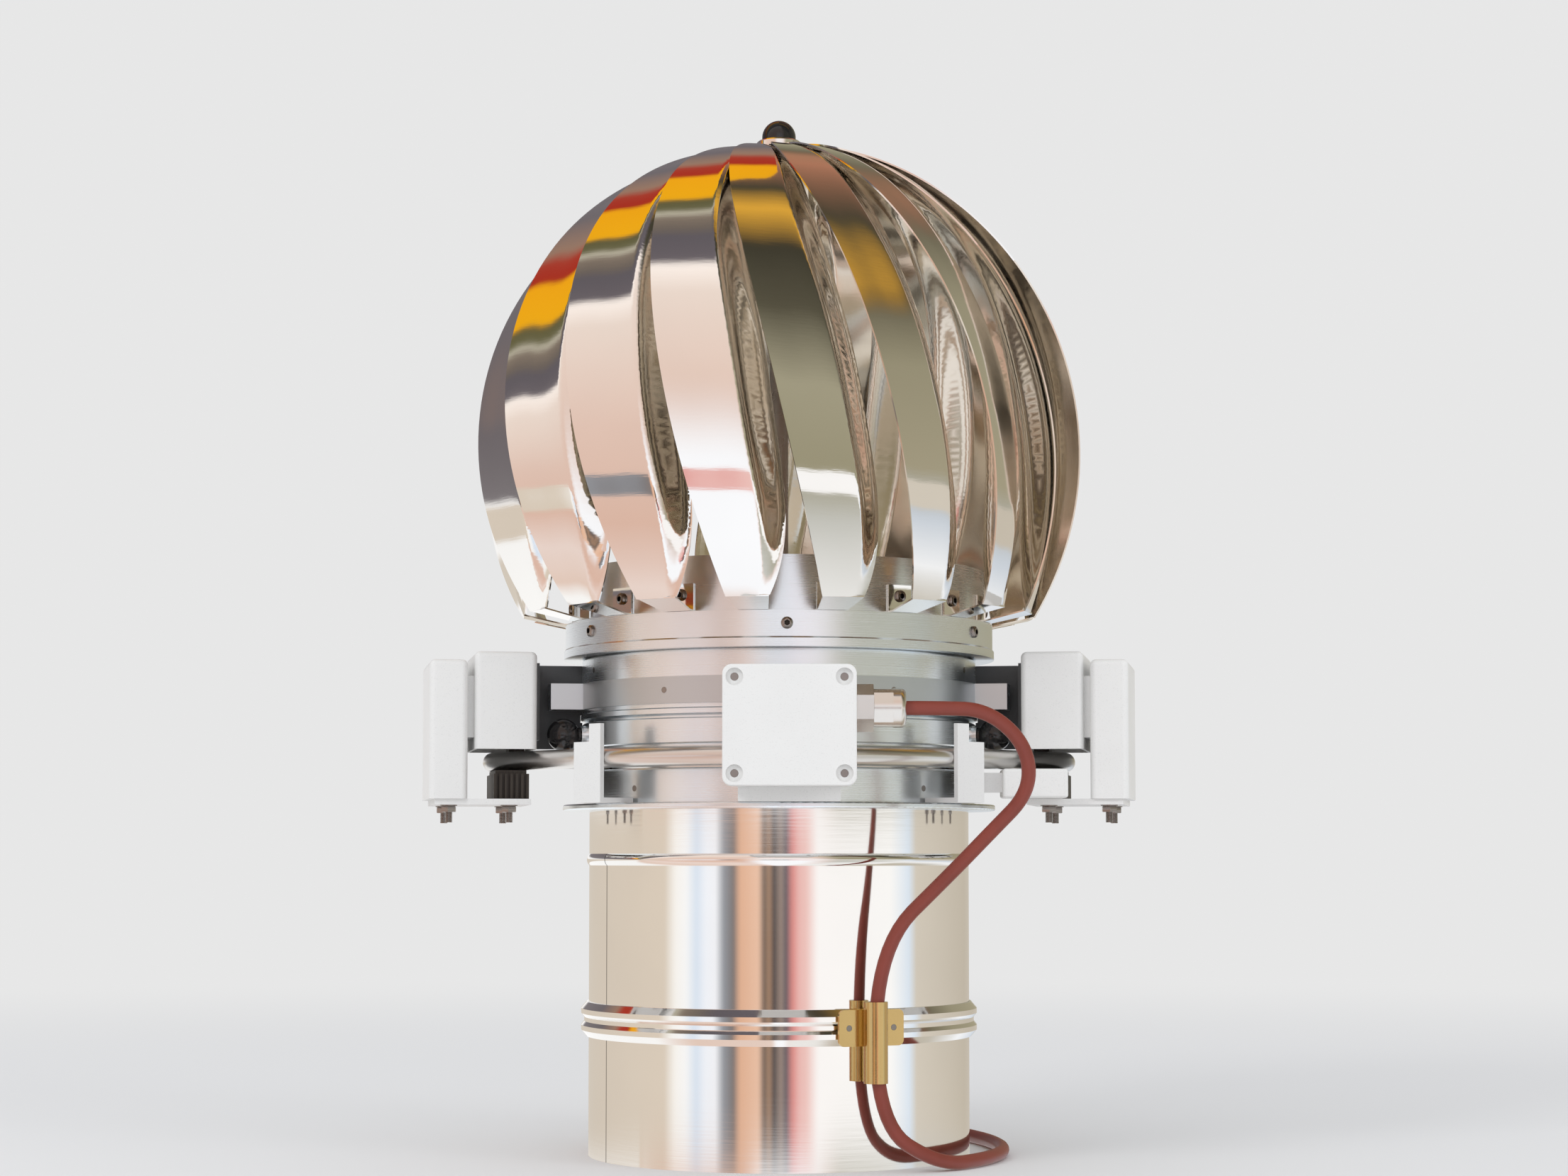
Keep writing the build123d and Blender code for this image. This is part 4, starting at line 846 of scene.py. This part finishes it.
def coil_points():
    """Coil with an outer and an inner turn on the floor, and both again on top of them."""
    points = []
    for step in range(int(COIL_TURNS * COIL_STEPS)):
        turn = (step + 0.5) / COIL_STEPS
        inwards = ease(turn, 0.80, 0.98) - ease(turn, 2.25, 2.50)
        upwards = ease(turn, 1.55, 1.78)
        radius = (COIL_OUTER_R - COIL_PITCH * inwards) / math.cos(math.pi / COIL_STEPS)
        angle = -math.pi / 2 - FULL_TURN * turn
        x = COIL_CENTRE[0] + radius * math.cos(angle)
        y = COIL_CENTRE[1] + radius * math.sin(angle)
        points.append((x, y, LEAD_R + COIL_PITCH * upwards))
    return points


def ease(value, start, end):
    """Rises smoothly from 0 at start to 1 at end."""
    share = min(1, max(0, (value - start) / (end - start)))
    return share * share * (3 - 2 * share)


def tube(name, material, points, diameter):
    """A round tube along a smooth curve through the middles of its points' runs."""
    curve = bpy.data.curves.new(name, "CURVE")
    curve.dimensions = "3D"
    curve.bevel_depth = diameter / 2
    curve.bevel_resolution = 5
    curve.resolution_u = 10
    curve.use_fill_caps = True
    spline = curve.splines.new("NURBS")
    spline.points.add(len(points) - 1)
    for point, place in zip(spline.points, points):
        point.co = (*(Vector(place) * MM), 1)
    spline.order_u = 3
    spline.use_endpoint_u = True
    curve.materials.append(MATERIALS[material])
    made = bpy.data.objects.new(name, curve)
    bpy.context.scene.collection.objects.link(made)
    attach(made, "stator")
    return made


def bare_cores(end, along, diameter):
    """Three insulated cores with crimped ferrules that stand out of the cut sheath."""
    pieces = []
    aside = Vector((-along.y, along.x, 0))
    up = Vector((0, 0, 1))
    core = 0.30 * diameter
    ferrules = bmesh.new()
    for index, material in enumerate(("core_brown", "core_blue", "core_green")):
        turn = FULL_TURN * index / 3
        out = aside * math.cos(turn) + up * math.sin(turn)
        start = end + out * diameter * 0.2
        middle = start + along * (CORE_LENGTH / 2 * MM)
        tip = start + along * (CORE_LENGTH * MM) + out * diameter * 0.22
        route = [point / MM for point in (start, middle, tip)]
        pieces.append(tube(material, material, route, core * 0.9))
        bmesh.ops.create_cone(ferrules, cap_ends=True, segments=16, radius1=core * 0.5,
                              radius2=core * 0.32, depth=FERRULE_LENGTH * MM,
                              matrix=facing(tip + along * 3 * MM, along))
    pieces.append(put(ferrules, "core_ferrules", "zinc_steel", "stator"))
    return pieces


class DRAUGHTFAN_OT_lead(bpy.types.Operator):
    """Lay the silicone lead from the gland through the saddle to its coil"""
    bl_idname = "draughtfan.lead"
    bl_label = "Lead"

    def execute(self, context):
        sizes = context.scene.fan_sizes
        route = lead_route()
        lead = tube("silicone_lead", "silicone", route, sizes.lead_diameter)
        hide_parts("lead_run", "lead_coil")
        end = Vector(route[-1]) * MM
        along = (Vector(route[-1]) - Vector(route[-2])).normalized()
        cores = bare_cores(end, along, sizes.lead_diameter)
        return {"FINISHED"}


# Stage

BACKGROUND = (0.80, 0.80, 0.80)
FLOOR_R = 9.0
FLOOR_FADE = (0.5, 2.2)   # distances between which the floor turns into the background
LIGHTS_AIM = (0, 0, 0.28)
CAMERA_PLACE = (0, -1.55, 0.155)
CAMERA_TILT = 3.5
CAMERA_LENS = 67.2
CAMERA_SHIFT = (0.0032, 0.0578)

# What the polished metal mirrors at the left: colours by the angle over the camera, in degrees
LEFT_BANDS = [
    (-180, (1.05, 1.05, 1.05)), (-112, (1.05, 1.05, 1.05)), (-96, (0.85, 0.66, 0.57)),
    (-60, (0.92, 0.76, 0.70)), (-20, (0.80, 0.54, 0.44)), (20, (0.84, 0.62, 0.53)),
    (60, (0.92, 0.78, 0.70)), (70, (1.10, 1.00, 0.94)), (73, (0.15, 0.13, 0.145)),
    (84, (0.13, 0.115, 0.13)), (88, (0.17, 0.14, 0.12)), (94, (0.24, 0.19, 0.15)),
    (97, (0.52, 0.48, 0.38)), (100, (0.15, 0.14, 0.07)), (105, (0.12, 0.11, 0.05)),
    (107, (0.95, 0.45, 0.01)), (123, (0.95, 0.42, 0.01)), (125, (0.42, 0.03, 0.017)),
    (132, (0.42, 0.05, 0.03)), (137, (0.34, 0.21, 0.15)), (150, (0.17, 0.15, 0.16)),
    (172, (0.22, 0.20, 0.21)), (175, (0.96, 0.94, 0.93)), (180, (1.05, 1.05, 1.05)),
]
# The same at the right
RIGHT_BANDS = [
    (-180, (0.50, 0.42, 0.32)), (-70, (1.00, 1.00, 1.00)), (-25, (0.62, 0.62, 0.58)),
    (0, (0.36, 0.33, 0.22)), (40, (0.40, 0.37, 0.26)), (62, (0.10, 0.09, 0.06)),
    (80, (0.05, 0.045, 0.03)), (95, (0.80, 0.42, 0.05)), (106, (0.06, 0.055, 0.035)),
    (128, (0.45, 0.20, 0.12)), (145, (0.36, 0.22, 0.13)), (180, (0.42, 0.32, 0.22)),
]
# Colours of the right and back by height, from -90 to 90 degrees
SIDE_BANDS = [
    (-90, (0.50, 0.42, 0.32)), (-40, (0.60, 0.56, 0.48)), (-24, (1.00, 1.02, 1.05)),
    (-9, (0.66, 0.72, 0.80)), (4, (0.40, 0.36, 0.25)), (27, (0.34, 0.31, 0.21)),
    (37, (0.20, 0.18, 0.12)), (43, (0.06, 0.055, 0.04)), (90, (0.10, 0.08, 0.06)),
]
# Colours by the angle round the camera, seen in the upright walls of the pipes
WALLS = [
    (-180, (0.66, 0.60, 0.52)), (-118, (0.74, 0.65, 0.55)), (-72, (0.78, 0.68, 0.57)),
    (-64, (1.05, 1.03, 1.00)), (-57, (1.05, 1.06, 1.08)), (-50, (0.78, 0.88, 1.02)),
    (-44, (0.98, 1.02, 1.10)), (-38, (1.00, 1.02, 1.08)), (-33, (0.34, 0.36, 0.40)),
    (-27, (0.22, 0.20, 0.20)), (-23, (0.84, 0.50, 0.34)), (-12, (0.92, 0.60, 0.44)),
    (-9, (0.16, 0.12, 0.10)), (-6, (0.42, 0.26, 0.17)), (-3, (0.09, 0.075, 0.075)),
    (1, (0.36, 0.27, 0.23)), (4, (0.13, 0.12, 0.14)), (8, (0.80, 0.30, 0.28)),
    (12, (0.92, 0.55, 0.52)), (16, (0.95, 0.62, 0.58)), (23, (1.08, 1.06, 1.06)),
    (70, (1.08, 1.08, 1.08)), (84, (0.80, 0.90, 1.02)), (90, (0.72, 0.66, 0.57)),
    (150, (0.58, 0.52, 0.43)), (180, (0.60, 0.55, 0.48)),
]


def by_angle(shader, angle, stops):
    """Colour ramp over an angle in radians, with its stops in degrees."""
    places = [(degrees / 360 + 0.5, colour) for degrees, colour in stops]
    return shader.ramp(angle / FULL_TURN + 0.5, places)


def between(shader, angle, start, end):
    """Rises from 0 to 1 over an angle in radians, with its start and end in degrees."""
    return shader.smooth(angle, math.radians(start), math.radians(end))


def studio_world():
    """Plain pale studio: what the metal mirrors is a set of soft tinted panels."""
    world = bpy.data.worlds.new("studio")
    bpy.context.scene.world = world
    shader = Shader(world)
    x, y, z = shader.split(shader.node("ShaderNodeTexCoord", output="Generated"))
    over = z.math("ARCTAN2", -y)
    around = x.math("ARCTAN2", -y)
    left = by_angle(shader, over, LEFT_BANDS)
    right = by_angle(shader, over, RIGHT_BANDS)
    panels = shader.mix(between(shader, around, 18, 40), left, right)
    side = between(shader, around, 72, 92) * (1.0 - shader.smooth(z, 0.60, 0.72))
    panels = shader.mix(side, panels, by_angle(shader, z.math("ARCSINE"), SIDE_BANDS))
    sheen = between(shader, around, -24, -8) * (1.0 - between(shader, around, 12, 38))
    sheen = sheen * (1.0 - between(shader, over, 2, 34))
    panels = shader.mix(sheen, panels, (1.08, 1.10, 1.15))
    level = shader.smooth(z, -0.12, -0.09) * (1.0 - shader.smooth(z, 0.012, 0.03))
    mirrored = shader.mix(level, panels, by_angle(shader, around, WALLS))
    path = shader.node("ShaderNodeLightPath").output.node.outputs
    colour = shader.mix(Value(shader, path["Is Glossy Ray"]), (0.84, 0.85, 0.87), mirrored)
    colour = shader.mix(Value(shader, path["Is Camera Ray"]), colour, BACKGROUND)
    light = shader.node("ShaderNodeBackground", {}, {"Color": colour, "Strength": 1.0})
    shader.node("ShaderNodeOutputWorld", {}, {"Surface": light})


def stage_floor():
    """Pale floor with the fan's shadow. It fades into the background and isn't mirrored."""
    bm = bmesh.new()
    bmesh.ops.create_circle(bm, cap_ends=True, segments=96, radius=FLOOR_R)
    mesh = bpy.data.meshes.new("stage_floor")
    bm.to_mesh(mesh)
    bm.free()
    floor = bpy.data.objects.new("stage_floor", mesh)
    bpy.context.scene.collection.objects.link(floor)
    material, shader = new_material("stage_floor")
    fade = shader.smooth(shader.length(shader.position()), *FLOOR_FADE)
    cloth = shader.node("ShaderNodeBsdfDiffuse", {}, {"Color": (0.78, 0.78, 0.78, 1)})
    glow = shader.node("ShaderNodeEmission", {}, {"Color": (*BACKGROUND, 1)})
    seen = shader.node("ShaderNodeMixShader", {}, {0: fade, 1: cloth, 2: glow})
    clear = shader.node("ShaderNodeBsdfTransparent")
    path = shader.node("ShaderNodeLightPath").output.node.outputs
    mirrored = Value(shader, path["Is Glossy Ray"])
    blend = shader.node("ShaderNodeMixShader", {}, {0: mirrored, 1: seen, 2: clear})
    shader.node("ShaderNodeOutputMaterial", {}, {"Surface": blend})
    mesh.materials.append(material)


def area_light(name, place, size, energy):
    """Soft light that is aimed at the fan and isn't mirrored."""
    light = bpy.data.lights.new(name, "AREA")
    light.shape = "RECTANGLE"
    light.size, light.size_y = size
    light.energy = energy
    lamp = bpy.data.objects.new(name, light)
    lamp.visible_glossy = False
    bpy.context.scene.collection.objects.link(lamp)
    aim = Vector(LIGHTS_AIM) - Vector(place)
    turn = aim.to_track_quat("-Z", "Y").to_matrix().to_4x4()
    lamp.matrix_world = Matrix.Translation(place) @ turn


class DRAUGHTFAN_OT_stage(bpy.types.Operator):
    """Set up the floor, the lights, the surround and the camera"""
    bl_idname = "draughtfan.stage"
    bl_label = "Stage"

    def execute(self, context):
        context.scene.view_settings.view_transform = "Standard"
        studio_world()
        stage_floor()
        area_light("key", (-1.3, -1.5, 1.5), (0.7, 0.7), 12)
        area_light("fill", (1.6, -1.2, 0.7), (0.6, 1.0), 6)
        data = bpy.data.cameras.new("camera")
        data.sensor_width = 36
        data.lens = CAMERA_LENS
        data.shift_x, data.shift_y = CAMERA_SHIFT
        data.clip_start = 0.05
        camera = bpy.data.objects.new("camera", data)
        camera.location = CAMERA_PLACE
        camera.rotation_euler = (math.radians(90 + CAMERA_TILT), 0, 0)
        context.scene.collection.objects.link(camera)
        context.scene.camera = camera
        return {"FINISHED"}


OPERATORS = (
    DRAUGHTFAN_OT_stage,
    DRAUGHTFAN_OT_finishes,
    DRAUGHTFAN_OT_lead,
    DRAUGHTFAN_OT_rotor_screws,
    DRAUGHTFAN_OT_fixed_screws,
    DRAUGHTFAN_OT_studs,
)


class DRAUGHTFAN_PT_panel(bpy.types.Panel):
    """Buttons for each group of pieces"""
    bl_idname = "DRAUGHTFAN_PT_panel"
    bl_label = "Draught Fan"
    bl_space_type = "VIEW_3D"
    bl_region_type = "UI"
    bl_category = "Draught Fan"

    def draw(self, context):
        column = self.layout.column()
        for group in (context.scene.fan_sizes, context.scene.fan_colours):
            for name in group.__annotations__:
                column.prop(group, name)
        for operator in OPERATORS:
            column.operator(operator.bl_idname)


CLASSES = (FanSizes, FanColours, *OPERATORS, DRAUGHTFAN_PT_panel)


def register():
    for item in CLASSES:
        bpy.utils.register_class(item)
    bpy.types.Scene.fan_sizes = bpy.props.PointerProperty(type=FanSizes)
    bpy.types.Scene.fan_colours = bpy.props.PointerProperty(type=FanColours)


def unregister():
    del bpy.types.Scene.fan_sizes
    del bpy.types.Scene.fan_colours
    for item in reversed(CLASSES):
        bpy.utils.unregister_class(item)


def main():
    """Make the finishes, the pieces and the stage."""
    register()
    bpy.ops.draughtfan.stage()
    bpy.ops.draughtfan.finishes()
    bpy.ops.draughtfan.lead()
    bpy.ops.draughtfan.rotor_screws()
    bpy.ops.draughtfan.fixed_screws()
    bpy.ops.draughtfan.studs()


if __name__ == "__main__":
    main()
